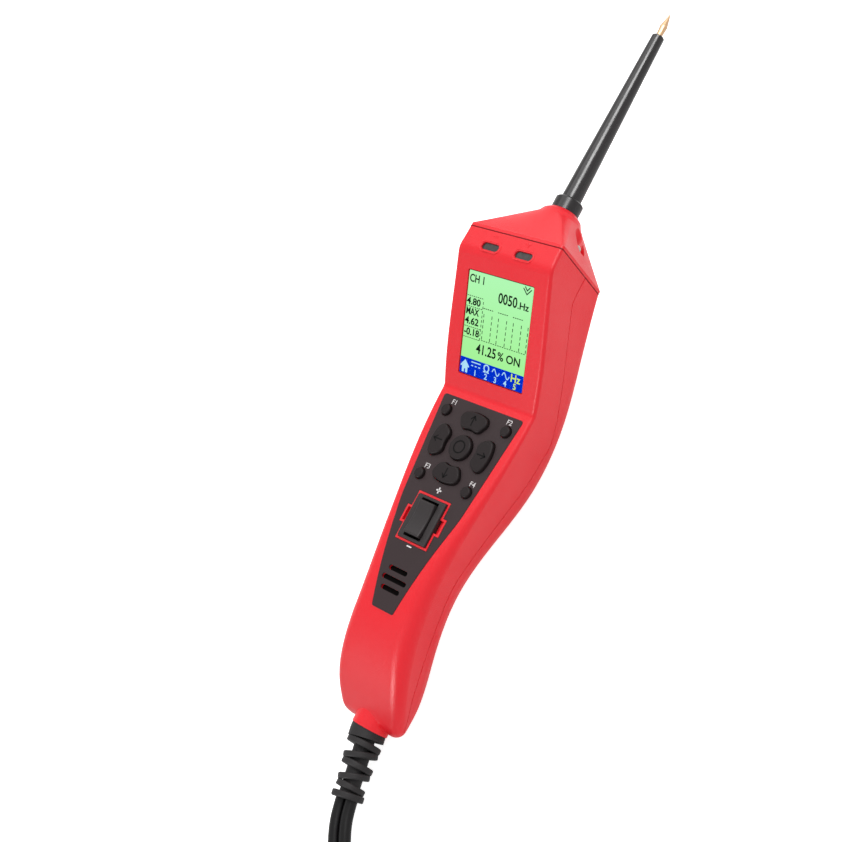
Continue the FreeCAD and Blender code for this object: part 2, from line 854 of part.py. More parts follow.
def build_rocker():
    half_w = rocker_width / 2
    half_l = rocker_length / 2
    top = keypad_height + rocker_proud
    s0 = rocker_station - half_l
    s1 = rocker_station + half_l
    case = block(-half_w, half_w, s0, s1, board_top, top)
    rim = [e for e in case.Edges if e.BoundBox.ZMin > top - 0.01 or e.BoundBox.ZLength > 1]
    case = case.makeFillet(0.6, rim)
    open_w = rocker_opening_width / 2
    open_l = rocker_opening_length / 2
    floor = board_top + rocker_floor
    case = case.cut(block(-open_w, open_w, rocker_station - open_l, rocker_station + open_l, floor, top + 1))
    pin_z = keypad_height - rocker_pin_drop
    pin_start = at(-half_w + 0.6, rocker_station, pin_z)
    pin = rod(pin_start, V(1, 0, 0), rocker_pin_radius, rocker_width - 1.2)
    keep("rocker_housing", case.cut(pin))
    keep("rocker_pin", pin)
    # Paddle: dished along its length, with a keel that rocks on the pin
    end = paddle_length / 2
    crest = keypad_height + paddle_proud
    dish = crest - (paddle_dish_radius - math.sqrt(paddle_dish_radius ** 2 - end ** 2))
    foot = crest - paddle_depth
    x0 = -paddle_width / 2
    spots = [(-end, crest), (-end, foot + 1.6), (-1.6, foot), (1.6, foot), (end, foot + 1.6), (end, crest)]
    points = [at(x0, rocker_station + y, z) for y, z in spots]
    edges = [line(a, b) for a, b in zip(points, points[1:])]
    edges.append(arc(points[-1], at(x0, rocker_station, dish), points[0]))
    paddle = Part.Face(Part.Wire(edges)).extrude(V(paddle_width, 0, 0))
    soft = [e for e in paddle.Edges if e.BoundBox.ZMin > dish - 0.01]
    paddle = paddle.makeFillet(0.5, soft)
    paddle = paddle.cut(rod(at(-half_w, rocker_station, pin_z), V(1, 0, 0),
                            rocker_pin_radius + pin_running_gap, rocker_width))
    keep("rocker_paddle", paddle)
    contacts = []
    for sign in (-1, 1):
        y = rocker_station + sign * (open_l - 2.4)
        contacts.append(block(-2, 2, y - 1.6, y + 1.6, floor, floor + contact_thickness))
    keep("rocker_contacts", Part.makeCompound(contacts))


def cap_section(station, inset):
    """Corner arcs and sides of the cap's foot: (start, middle, end) for each corner."""
    corners = [
        (at(joint_half_width - inset, station, band_height - inset), head_edge_radius),
        (at(joint_back_half_width - inset, station, joint_back_height + inset), joint_back_radius),
        (at(-joint_back_half_width + inset, station, joint_back_height + inset), joint_back_radius),
        (at(-joint_half_width + inset, station, band_height - inset), head_edge_radius),
    ]
    points = [p for p, _ in corners]
    out = []
    for i, (p, radius) in enumerate(corners):
        before = points[i - 1]
        after = points[(i + 1) % 4]
        reach = radius / math.tan(half_angle(before, p, after))
        out.append(corner_arc(before, p, after, reach))
    return out


def cap_foot_wire(station, inset):
    spots = cap_section(station, inset)
    edges = []
    for i, (a, middle, b) in enumerate(spots):
        edges.append(arc(a, middle, b))
        edges.append(line(b, spots[(i + 1) % 4][0]))
    return Part.Wire(edges)


def cap_round_wire(station, radius, inset):
    """A circle cut at the same eight places as the cap's foot."""
    ridge = math.radians(14)
    centre = at(0, station, probe_axis_height)
    angles = []
    for _, middle, _ in cap_section(station, inset):
        angles.append(math.atan2(middle.z - centre.z, middle.x))

    def spot(angle):
        return centre + V(radius * math.cos(angle), 0, radius * math.sin(angle))

    edges = []
    for i, angle in enumerate(angles):
        following = angles[(i + 1) % 4]
        while following > angle:
            following -= 2 * math.pi
        edges.append(arc(spot(angle + ridge), spot(angle), spot(angle - ridge)))
        edges.append(arc(spot(angle - ridge), spot((angle + following) / 2), spot(following + ridge)))
    return Part.Wire(edges)


def build_cap():
    skirt_end = joint_station + cap_skirt
    skirt = prism(cap_foot_wire(joint_station, 0), V(0, cap_skirt, 0))
    body = Part.makeLoft([cap_foot_wire(skirt_end, 0), cap_round_wire(cap_round_station, cap_round_radius, 0)],
                         True, True)
    rise = cap_top_station - cap_round_station
    dome = probe_turned([
        (cap_round_station - rise, 0), (cap_round_station - rise, cap_round_radius - rise),
        (cap_round_station, cap_round_radius), (cap_round_station + 0.6 * rise, cap_round_radius - 0.35 * rise),
        (cap_top_station, cap_top_radius), (cap_top_station, 0)])
    cap = skirt.fuse([body, dome])
    hollow = Part.makeLoft([cap_foot_wire(joint_station, wall),
                            cap_round_wire(cap_round_station - 2 * wall, cap_round_radius - 1.5 * wall, wall)],
                           True, True)
    lamps = []
    for sign in (-1, 1):
        start = at(sign * lamp_offset, joint_station, probe_axis_height)
        hollow = hollow.cut(rod(start, V(0, 1, 0), lamp_recess_radius + wall / 2, overall_length))
        cap = cap.cut(rod(at(sign * lamp_offset, lamp_floor_station, probe_axis_height), V(0, 1, 0),
                          lamp_recess_radius, overall_length))
        hollow = hollow.fuse(rod(start, V(0, 1, 0), lamp_radius + fit_gap / 2,
                                 lamp_floor_station - joint_station))
        body_length = lamp_floor_station - joint_station - wall
        lamp_start = at(sign * lamp_offset, joint_station + wall, probe_axis_height)
        lens = rod(lamp_start, V(0, 1, 0), lamp_radius, body_length + 0.9)
        tip = Part.makeSphere(lamp_radius, at(sign * lamp_offset, lamp_floor_station + 0.9, probe_axis_height))
        lamps.append(lens.fuse(tip).removeSplitter())
    bore = rod(at(0, joint_station, probe_axis_height), V(0, 1, 0), socket_radius + fit_gap / 2,
               overall_length)
    keep("nose_cap", cap.cut([hollow, bore]).removeSplitter())
    keep("worklight_lenses", Part.makeCompound(lamps))


def build_probe():
    collar_top = cap_top_station + collar_length
    bore = plug_radius + plug_running_gap
    keep("probe_collar", probe_turned([
        (cap_top_station + collar_gap, bore + key_gap), (cap_top_station + collar_gap, collar_radius),
        (collar_top - collar_chamfer, collar_radius), (collar_top, collar_radius - collar_chamfer),
        (collar_top, bore + key_gap)]))
    flange_start = joint_station - wall - socket_flange_thickness
    socket_end = cap_top_station
    keep("probe_socket", probe_turned([
        (flange_start - wall, 0), (flange_start - wall, socket_radius), (flange_start, socket_radius),
        (flange_start, socket_flange_radius), (joint_station - wall, socket_flange_radius),
        (joint_station - wall, socket_radius), (socket_end, socket_radius), (socket_end, bore),
        (flange_start, bore), (flange_start, 0)]))
    sleeve_end = overall_length - tip_length
    hole = needle_radius + fit_gap / 4
    keep("probe_sleeve", probe_turned([
        (collar_top, hole), (collar_top, sleeve_base_radius), (collar_top + 1, sleeve_base_radius),
        (sleeve_end - 0.4, sleeve_end_radius), (sleeve_end, sleeve_end_radius - 0.4), (sleeve_end, hole)]))
    plug_start = socket_end - plug_length
    bulge = sleeve_end + 0.42 * tip_length
    keep("probe_needle", probe_turned([
        (plug_start, 0), (plug_start, plug_radius - 0.5), (plug_start + 1, plug_radius),
        (socket_end, plug_radius), (socket_end + 0.6, needle_radius), (sleeve_end + 0.6, needle_radius),
        (bulge, tip_bulge_radius), (overall_length - 0.3, 0.15), (overall_length, 0)]))
    lenses = []
    room = side_prism(wall + fit_gap)
    for sign in (-1, 1):
        x = sign * indicator_offset
        top = band_height - indicator_recess
        under = band_height - wall - indicator_flange
        pipe = slot(x, indicator_station, under, indicator_length - fit_gap, indicator_width - fit_gap,
                    V(0, 0, top - under))
        foot = slot(x, indicator_station, under, indicator_length + indicator_flange,
                    indicator_width + indicator_flange, V(0, 0, indicator_flange)).common(room)
        lens = pipe.fuse(foot).removeSplitter()
        boss = rod(at(sign * screw_head_offset, screw_head_station, 0), V(0, 0, 1),
                   screw_boss_radius + fit_gap, band_height - wall)
        lenses.append(lens.cut(boss))
    keep("indicator_lenses", Part.makeCompound(lenses))


def tube(points, radius):
    """A round wire along points whose corners are rounded as widely as the runs allow."""
    path = route_wire(points)
    ring = Part.Wire(Part.makeCircle(radius, points[0], (points[1] - points[0])))
    return path.makePipeShell([ring], True, False)


def route_corners(points):
    corners = [(points[0], 0)]
    for before, p, after in zip(points, points[1:], points[2:]):
        shorter = min(before.distanceToPoint(p), p.distanceToPoint(after))
        corners.append((p, 0.45 * shorter * math.tan(half_angle(before, p, after))))
    corners.append((points[-1], 0))
    return corners


def route_wire(points):
    return rounded(route_corners(points), closed=False)


def build_wires():
    # Lead from the probe socket down to the main board
    rear = joint_station - 2 * wall - socket_flange_thickness
    z = board_bottom - wire_radius - fit_gap / 2
    spots = [(rear, probe_axis_height), (rear - 8, probe_axis_height), (rear - 26, probe_axis_height - 15),
             (board_top_station + 6, z), (board_top_station - 4, z)]
    keep("socket_lead", tube([at(0, s, h) for s, h in spots], wire_radius))
    # Two wires from the strain relief to the tail of the main board
    start = boss_depth + relief_flange_thickness
    wires = []
    for sign in (-1, 1):
        x = sign * core_diameter / 2
        spots = [(start, cord_axis_height), (start + 6, cord_axis_height), (board_end_station - 4, z - 5),
                 (board_end_station + 6, z), (board_end_station + 15, z)]
        wires.append(tube([at(x, s, h) for s, h in spots], wire_radius))
    keep("supply_wires", Part.makeCompound(wires))


def relief_path(length):
    """The strain relief's centre line, which leans aside as it leaves the boss."""
    lean = math.radians(relief_lean)
    start = at(0, 0, cord_axis_height)

    def on_bend(angle):
        return start + V(1 - math.cos(angle), -math.sin(angle), 0) * relief_bend_radius

    direction = V(math.sin(lean), -math.cos(lean), 0)
    end = on_bend(lean) + direction * (length - relief_bend_radius * lean)
    return Part.Wire([arc(start, on_bend(lean / 2), on_bend(lean)), line(on_bend(lean), end)]), end, direction


def relief_end():
    _, end, direction = relief_path(relief_length)
    return end, direction


def relief_ring(centre, radius, side):
    """A round-edged ring that leans, so that it meets one neighbour on the left and one on the right."""
    turn = math.radians(relief_front_turn)
    _, place, direction = relief_path(centre)
    across = V(0, 0, 1).cross(direction)
    front = V(0, 0, math.cos(turn)) + across * math.sin(turn)
    axis = Rotation(front, side * relief_ring_tilt).multVec(direction)
    ring = rod(place - axis * (relief_ring_thickness / 2), axis, radius, relief_ring_thickness)
    return ring.makeFillet(relief_ring_round, ring.Edges[0:1] + ring.Edges[2:3])


def build_relief():
    back = V(0, -1, 0)
    root = rod(at(0, boss_depth, cord_axis_height), back, relief_root_radius, boss_depth)
    flange = rod(at(0, boss_depth + relief_flange_thickness, cord_axis_height), back,
                 relief_flange_radius, relief_flange_thickness)
    room = trough(wall + fit_gap).common(side_prism(wall + fit_gap))
    pieces = [flange.common(room)]
    for radius, length in ((relief_collar_radius, relief_collar_length),
                           (relief_core_radius, relief_length - relief_disc_thickness / 2)):
        path, _, _ = relief_path(length)
        ring = Part.Wire(Part.makeCircle(radius, at(0, 0, cord_axis_height), back))
        pieces.append(path.makePipeShell([ring], True, False))
    end, direction = relief_end()
    disc = rod(end, direction * -1, relief_disc_radius, relief_disc_thickness)
    pieces.append(disc.makeFillet(relief_disc_thickness / 4, disc.Edges[0:1] + disc.Edges[2:3]))
    shrink = (relief_ring_radius - relief_last_ring_radius) / (relief_ring_count - 1)
    for k in range(relief_ring_count):
        radius = relief_ring_radius - k * shrink
        side = 1 if k % 2 else -1
        pieces.append(relief_ring(relief_first_ring + k * relief_ring_pitch, radius, side))
    keep("strain_relief", root.fuse(pieces))


# Supply cord
def cord_section(place, direction):
    """Two touching six-sided cores, flat side down."""
    r = core_diameter / 2
    across = V(0, 0, 1).cross(direction).normalize()
    upward = direction.cross(across)
    flat = r * math.cos(math.radians(30))
    half = [(2 * r, 0), (1.5 * r, flat), (0.5 * r, flat), (0, 0.35 * r), (-0.5 * r, flat), (-1.5 * r, flat)]
    spots = half + [(-x, -z) for x, z in half]
    points = [place + across * x + upward * z for x, z in spots]
    return Part.makePolygon(points + points[:1])


def swept_cord(path, place, direction):
    return path.makePipeShell([cord_section(place, direction)], True, False)


def section_area():
    return Part.Face(cord_section(V(0, 0, 0), V(0, -1, 0))).Area


def hank_layer(k):
    return core_diameter / 2 + cord_lift + k * (core_diameter + hank_layer_gap)


def hank_runs():
    """Each run of the hank as (side, step outwards, layer at its start, layer at its end)."""
    return [
        (1, 1, 0, 0), (-1, 1, 0, 0), (1, 0, 0, 0), (-1, 0, 0, 1),
        (1, 0, 1, 1), (-1, 1, 1, 1), (1, 1, 1, 2),
        (-1, 1, 2, 2), (1, 0, 2, 2), (-1, 0, 2, 3),
    ]


def hank_spots():
    """Points and directions along the hank, from its entry to its end."""
    lean = math.atan2(4 * hank_waist, hank_run)
    centre = at(hank_offset, hank_centre_station, 0)
    half = hank_run / 2

    def spot(side, step, y, layer):
        return centre + V(side * (hank_end_half_width + step * hank_step), y, hank_layer(layer))

    spots = []
    for side, step, layer0, layer1 in hank_runs():
        inward = V(-side * math.sin(lean), -side * math.cos(lean), 0)
        outward = V(side * math.sin(lean), -side * math.cos(lean), 0)
        spots.append((spot(side, step, side * half, layer0), inward))
        spots.append((spot(side, step, -side * half, layer1), outward))
    spots[0] = (spots[0][0], V(0, -1, 0))
    last = spot(1, 0, half, 3)
    spots.append((last, V(-math.sin(lean), -math.cos(lean), 0)))
    return spots


def build_cord():
    end, direction = relief_end()
    spots = hank_spots()
    entry, heading = spots[0]
    d = 2 * core_diameter
    hank_start = entry - heading * d
    points = [end, end + direction * cord_first_run] + [at(*p) for p in cord_route] + [hank_start]
    free = swept_cord(route_wire(points), end, (points[1] - end).normalize())
    keep("supply_cord", free)
    for p, r in route_corners(points)[1:-1]:
        print("cord bend radius", round(r, 1))
    path = route_wire(points)
    print("cord volume ratio", round(free.Volume / (section_area() * path.Length), 3))
    edges = [line(hank_start, entry)]
    for (p0, t0), (p1, t1) in zip(spots, spots[1:]):
        edges += biarc(p0, t0, p1, t1)
    last, onward = spots[-1]
    hank_end = last + onward * d
    edges.append(line(last, hank_end))
    hank_path = Part.Wire(edges)
    hank = swept_cord(hank_path, hank_start, heading)
    keep("supply_hank", hank)
    print("hank volume ratio", round(hank.Volume / (section_area() * hank_path.Length), 3))
    print("cord length", round(path.Length + hank_path.Length, 1))
    least_gap(hank_path)
    return hank_end, onward


def least_gap(path):
    """Least gap between turns of the hank, measured on points along its two cores."""
    step = core_diameter / 2
    count = int(path.Length / step)
    samples = []
    travelled = 0.0
    for edge in path.Edges:
        for i in range(max(2, int(edge.Length / step))):
            t = edge.FirstParameter + (edge.LastParameter - edge.FirstParameter) * i / max(2, int(edge.Length / step))
            across = V(0, 0, 1).cross(edge.tangentAt(t)).normalize()
            samples.append((travelled + edge.Length * i / max(2, int(edge.Length / step)), edge.valueAt(t), across))
        travelled += edge.Length
    least = 1e9
    for i, (s0, p0, a0) in enumerate(samples):
        for s1, p1, a1 in samples[i + 1:]:
            if s1 - s0 < 8 * core_diameter or abs(p0.x - p1.x) + abs(p0.y - p1.y) > 6 * core_diameter:
                continue
            for c0 in (-1, 1):
                for c1 in (-1, 1):
                    gap = (p0 + a0 * (c0 * core_diameter / 2)).distanceToPoint(p1 + a1 * (c1 * core_diameter / 2))
                    least = min(least, gap - core_diameter)
    print("hank least gap", round(least, 2), "over", count, "points")


def build_cord_end(hank_end, onward):
    # Tie round the hank's waist
    half = hank_end_half_width + hank_step - hank_waist / 2 + core_diameter + tie_gap
    top = hank_layer(3) + core_diameter / 2 + tie_gap
    centre = at(hank_offset, hank_centre_station, 0)

    def ring(grow):
        corners = [
            (centre + V(-half - grow, -tie_width / 2, cord_lift / 2 if grow == 0 else 0), 0),
            (centre + V(half + grow, -tie_width / 2, cord_lift / 2 if grow == 0 else 0), 0),
            (centre + V(half + grow, -tie_width / 2, top + grow), 3.0 + grow),
            (centre + V(-half - grow, -tie_width / 2, top + grow), 3.0 + grow),
        ]
        return prism(rounded(corners), V(0, tie_width, 0))

    keep("hank_tie", ring(tie_thickness).cut(ring(0)))
    # Two-pole plug that lies on the runs below it
    low = hank_layer(2) + core_diameter / 2 + tie_gap
    across = V(0, 0, 1).cross(onward).normalize()
    half_w = plug_body_width / 2
    start = V(hank_end.x, hank_end.y, low)
    corners = [
        (start - across * (half_w * 0.62), 1.5),
        (start + across * (half_w * 0.62), 1.5),
        (start + across * half_w + onward * 9, 6.0),
        (start + across * half_w + onward * plug_body_length, 1.0),
        (start - across * half_w + onward * plug_body_length, 1.0),
        (start - across * half_w + onward * 9, 6.0),
    ]
    body = prism(rounded(corners), V(0, 0, plug_body_height))
    flat = [e for e in body.Edges if e.BoundBox.ZLength < 0.01 and (e.BoundBox.ZMin > low + 1)]
    body = body.makeFillet(1.2, flat)
    mouth_depth = plug_pin_length + 1
    middle = start + onward * plug_body_length + V(0, 0, plug_body_height / 2)
    pins = []
    for sign in (-1, 1):
        seat = middle + across * (sign * plug_pin_offset) - onward * mouth_depth
        body = body.cut(rod(seat, onward, plug_pin_radius + plug_well_gap, mouth_depth + 1))
        pins.append(rod(seat, onward, plug_pin_radius, plug_pin_length))
    keep("cord_plug", body)
    keep("plug_pins", Part.makeCompound(pins))


def main():
    os.makedirs("parts", exist_ok=True)
    build_shells()
    build_overlay()
    build_keys()
    build_board()
    build_screen()
    build_rocker()
    build_cap()
    build_probe()
    build_wires()
    build_relief()
    build_cord_end(*build_cord())
    for name, shape in nodes.items():
        if not shape.isValid():
            print("invalid", name)
        shape.exportStep(f"parts/{name}.step")


main()
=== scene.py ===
import math

import bmesh
import bpy
from bpy.props import FloatProperty, FloatVectorProperty, IntProperty, PointerProperty
from mathutils import Matrix, Vector


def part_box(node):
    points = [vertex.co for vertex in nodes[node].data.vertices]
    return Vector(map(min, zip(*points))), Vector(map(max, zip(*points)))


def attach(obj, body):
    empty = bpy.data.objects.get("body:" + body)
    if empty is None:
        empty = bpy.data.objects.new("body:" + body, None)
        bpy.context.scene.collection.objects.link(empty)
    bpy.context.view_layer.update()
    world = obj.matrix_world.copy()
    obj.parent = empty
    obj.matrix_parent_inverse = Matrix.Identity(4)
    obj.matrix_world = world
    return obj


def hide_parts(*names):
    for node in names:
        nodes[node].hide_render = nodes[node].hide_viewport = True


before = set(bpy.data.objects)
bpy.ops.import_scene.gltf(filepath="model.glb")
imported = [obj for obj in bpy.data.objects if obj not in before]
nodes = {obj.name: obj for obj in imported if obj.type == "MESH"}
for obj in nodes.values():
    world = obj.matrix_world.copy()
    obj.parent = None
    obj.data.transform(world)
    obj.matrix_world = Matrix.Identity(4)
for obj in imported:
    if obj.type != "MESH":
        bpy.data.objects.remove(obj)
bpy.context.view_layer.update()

bl_info = {
    "name": "Hand-held circuit tester",
    "version": (1, 0, 0),
    "blender": (4, 5, 0),
    "location": "3D View > Sidebar > Tester",
    "description": "Finishes, screen, key marks, supply cord and studio of a circuit tester",
    "category": "Object",
}

MM = 0.001
MERGE = 1e-7
TINY = 1e-6
FACING = 0.9
WHITE = (1, 1, 1, 1)
TO_METRES = Matrix.Scale(MM, 4)
# Stations run along the tool from the end of the tail boss, in millimetres
HALF_LENGTH = 127.4
OVERLAY_TOP = 33.2
KEY_TOP = 34.6
BAND_HEIGHT = 59.6


def at(x, station, z):
    """A place in the part's frame from millimetres and a station along the tool."""
    return Vector((x, station - HALF_LENGTH, z)) * MM


def linear(red, green, blue):
    """Scene-linear colour of a display colour given in 0 to 255."""
    out = []
    for value in (red, green, blue):
        share = value / 255
        out.append(share / 12.92 if share <= 0.04045 else ((share + 0.055) / 1.055) ** 2.4)
    return tuple(out)


def shaded(colour, share):
    return tuple(c * share for c in colour)


def colour_setting(label, about, red, green, blue):
    return FloatVectorProperty(name=label, description=about, subtype="COLOR", size=3,
                               min=0.0, max=1.0, default=linear(red, green, blue))


def length_setting(label, about, millimetres):
    return FloatProperty(name=label, description=about, unit="LENGTH", subtype="DISTANCE",
                         default=millimetres * MM, min=0.0)


def power_setting(label, about, watts):
    return FloatProperty(name=label, description=about, unit="POWER", default=watts, min=0.0)


# Settings that a user would change
class TesterColours(bpy.types.PropertyGroup):
    housing: colour_setting("Housing", "Red of the shells and the nose cap", 245, 27, 41)
    housing_shade: colour_setting("Housing shade", "Red that the first drifts towards", 240, 31, 45)
    overlay: colour_setting("Overlay", "Keypad overlay between the keys", 57, 44, 46)
    keys: colour_setting("Keys", "Rubber of the keys and buttons", 38, 31, 32)
    rocker: colour_setting("Rocker", "Plastic of the rocker switch", 45, 39, 40)
    rubber: colour_setting("Rubber", "Strain relief and plug", 34, 32, 33)
    cord: colour_setting("Cord", "Insulation of the supply cord", 15, 14, 15)
    sleeve: colour_setting("Sleeve", "Insulating sleeve of the probe", 27, 24, 25)
    gold: colour_setting("Gold", "Plating of the probe needle", 204, 168, 132)
    screen_top: colour_setting("Screen top", "Lit screen at its upper edge", 178, 251, 182)
    screen_foot: colour_setting("Screen foot", "Lit screen above its menu bar", 164, 244, 146)
    screen_ink: colour_setting("Screen ink", "Dark figures on the screen", 24, 44, 32)
    menu_bar: colour_setting("Menu bar", "Blue bar at the foot of the screen", 0, 48, 204)
    menu_marks: colour_setting("Menu marks", "Pale signs on the blue bar", 178, 226, 250)
    menu_chosen: colour_setting("Chosen mark", "Sign of the chosen reading", 214, 246, 96)
    print_white: colour_setting("Print", "White print on the overlay", 236, 232, 232)


class TesterSizes(bpy.types.PropertyGroup):
    core_radius: length_setting("Core radius", "Radius of each core of the cord", 2.05)
    core_offset: length_setting("Core offset", "Distance of each core from the middle line", 2.06)
    print_proud: length_setting("Print height", "How far print stands off what carries it", 0.05)
    mark_width: length_setting("Mark width", "Width of the lines marked on the keys", 0.46)
    caption_height: length_setting("Caption height", "Height of the buttons' captions", 1.7)
    oval_rim: length_setting("Oval rim", "Width of the raised rims round the indicators", 0.45)
    joint_line: length_setting("Joint line", "Width of the dark line at the nose cap's joint", 0.3)
    core_sides: IntProperty(name="Core sides", description="Points round each core of the cord",
                            default=12, min=6, max=24)


CAMERA_DEGREES = (28.07903, 31.46227, 33.33012)


class TesterStudio(bpy.types.PropertyGroup):
    camera_place: FloatVectorProperty(name="Camera place", description="Where the camera stands",
                                      subtype="TRANSLATION", unit="LENGTH", size=3,
                                      default=(0.284674, -0.094571, 0.385279))
    camera_turn: FloatVectorProperty(name="Camera turn", description="How the camera is turned",
                                     subtype="EULER", unit="ROTATION", size=3,
                                     default=tuple(math.radians(a) for a in CAMERA_DEGREES))
    lens: FloatProperty(name="Lens", description="Focal length in millimetres on a 36 mm sensor",
                        default=58.76, min=10.0, max=300.0)
    key_power: power_setting("Key lamp", "Power of the large soft lamp", 8.2)
    edge_power: power_setting("Edge lamp", "Power of the lamp for gleams on edges", 5.5)
    probe_power: power_setting("Probe lamp", "Power of the lamp for gleams on the probe", 8.6)
    sky: FloatProperty(name="Sky", description="Light from all round",
                       default=0.77, min=0.0, max=2.0)
    floor: colour_setting("Floor", "Pale floor under the tool", 238, 238, 238)


# Work on pieces
PILL_POINTS = 48
LETTER_STEPS = 3
CAPITAL_SHARE = 0.69


def clear_selection():
    if bpy.context.object and bpy.context.object.mode != "OBJECT":
        bpy.ops.object.mode_set(mode="OBJECT")
    bpy.ops.object.select_all(action="DESELECT")


def pick(piece):
    clear_selection()
    piece.select_set(True)
    bpy.context.view_layer.objects.active = piece


def new_object(name, data):
    made = bpy.data.objects.new(name, data)
    bpy.context.scene.collection.objects.link(made)
    return made


def settle(piece):
    """Puts a piece's place, turn and scale into its mesh."""
    pick(piece)
    bpy.ops.object.transform_apply(location=True, rotation=True, scale=True)
    return piece


def place(piece, matrix):
    piece.matrix_world = matrix @ piece.matrix_world
    bpy.context.view_layer.update()
    return settle(piece)


def join(pieces):
    clear_selection()
    for piece in pieces:
        piece.select_set(True)
    bpy.context.view_layer.objects.active = pieces[0]
    if len(pieces) > 1:
        bpy.ops.object.join()
    return pieces[0]


def modify(piece, kind, **values):
    """Adds a modifier with these values and applies it."""
    pick(piece)
    modifier = piece.modifiers.new(kind.title(), kind)
    for name, value in values.items():
        setattr(modifier, name, value)
    bpy.ops.object.modifier_apply(modifier=modifier.name)
    return piece


def choose(piece, kind, test):
    """In edit mode, selects the faces, edges or vertices that pass a test."""
    bpy.ops.mesh.select_all(action="DESELECT")
    mesh = bmesh.from_edit_mesh(piece.data)
    for part in getattr(mesh, kind):
        if test(part):
            part.select_set(True)
    mesh.select_flush_mode()
    bmesh.update_edit_mesh(piece.data)


def edit(piece, mode="FACE"):
    pick(piece)
    bpy.ops.object.mode_set(mode="EDIT")
    bpy.ops.mesh.select_mode(type=mode)


def leave():
    bpy.ops.object.mode_set(mode="OBJECT")


def take_all():
    bpy.ops.mesh.select_all(action="SELECT")


def extrude(run):
    bpy.ops.mesh.extrude_region_move(TRANSFORM_OT_translate={"value": run})


def clean(piece):
    """Merges doubles and turns every face outwards."""
    edit(piece, "VERT")
    take_all()
    bpy.ops.mesh.remove_doubles(threshold=MERGE)
    bpy.ops.mesh.normals_make_consistent(inside=False)
    leave()
    return piece


def smooth(piece, degrees):
    """Smooth shading across edges up to an angle."""
    pick(piece)
    bpy.ops.object.shade_smooth_by_angle(angle=math.radians(degrees))
    return piece


def round_edges(piece, test, radius, segments):
    """Rounds the edges that pass a test."""
    edit(piece, "EDGE")
    choose(piece, "edges", test)
    bpy.ops.mesh.bevel(offset=radius, segments=segments, affect="EDGES")
    leave()
    return piece


def upright(shortest):
    """A test for edges that rise by more than a length."""
    return lambda e: abs(e.verts[0].co.z - e.verts[1].co.z) > shortest


def block(middle, size, turn=0.0):
    """A box about its middle, turned about the upright."""
    clear_selection()
    bpy.ops.mesh.primitive_cube_add(size=1, location=middle, rotation=(0, 0, turn), scale=size)
    return settle(bpy.context.object)


def bar(start, end, width, low, high):
    """A straight bar between two places of a flat drawing, from low to high."""
    run = Vector(end) - Vector(start)
    middle = (Vector(start) + Vector(end)) / 2
    return block((middle.x, middle.y, (low + high) / 2), (run.length, width, high - low),
                 math.atan2(run.y, run.x))


def strokes(lines, width, low, high):
    """Bars along several runs of points, each run lapped at its corners."""
    made = []
    for points in lines:
        for start, end in zip(points, points[1:]):
            run = (Vector(end) - Vector(start)).normalized() * (width / 2)
            made.append(bar(Vector(start) - run, Vector(end) + run, width, low, high))
    return join(made)


def pill(length, radius, low, high, rim=None):
    """A plate with round ends in a flat drawing, or only its raised rim."""
    clear_selection()
    bpy.ops.mesh.primitive_circle_add(vertices=PILL_POINTS, radius=radius, fill_type="NGON",
                                      location=(0, 0, low))
    piece = settle(bpy.context.object)
    edit(piece, "VERT")
    for side in (-1, 1):
        choose(piece, "verts", lambda v, s=side: v.co.x * s > TINY)
        bpy.ops.transform.translate(value=(side * length / 2, 0, 0))
    bpy.ops.mesh.select_mode(type="FACE")
    take_all()
    if rim:
        bpy.ops.mesh.inset(thickness=rim, depth=0)
        bpy.ops.mesh.delete(type="FACE")
        take_all()
    extrude((0, 0, high - low))
    leave()
    return clean(piece)


def lettering(words, height, x, y, low, high, align="LEFT", weight=0.0, width=None):
    """Words as a closed thin mesh, set to a width where one is given."""
    clear_selection()
    bpy.ops.object.text_add(location=(x, y, (low + high) / 2))
    piece = bpy.context.object
    piece.data.body = words
    piece.data.size = height / CAPITAL_SHARE
    piece.data.align_x = align
    piece.data.extrude = (high - low) / 2
    piece.data.offset = weight
    piece.data.resolution_u = LETTER_STEPS
    bpy.ops.object.convert(target="MESH")
    piece = bpy.context.object
    if width:
        piece.scale.x = width / piece.dimensions.x
    return clean(settle(piece))


def keep(piece, name, finish, body="tool"):
    """Names a finished piece, gives it its finish and lets it ride on its body."""
    piece.name = name
    piece.data.name = name
    piece.data.materials.clear()
    piece.data.materials.append(finish)
    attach(piece, body)
    return piece


def dress(finish, *names):
    """Gives CAD nodes a finish."""
    for name in names:
        for entry in nodes[name].material_slots:
            entry.material = finish


# Finishes
UNLIT_SHARE = 0.05


def fill(node, **values):
    """Sets inputs of a shader node, with underscores for the spaces in their names."""
    for name, value in values.items():
        node.inputs[name.replace("_", " ")].default_value = value
    return node


def add(tree, kind, inputs=None, **options):
    """A new shader node with its options and the values of its inputs."""
    made = tree.nodes.new(kind)
    for name, value in options.items():
        setattr(made, name, value)
    return fill(made, **(inputs or {}))


def wire(tree, *runs):
    """Links shader nodes, each run given as node, output, node, input."""
    for source, output, target, entry in runs:
        tree.links.new(source.outputs[output], target.inputs[entry])


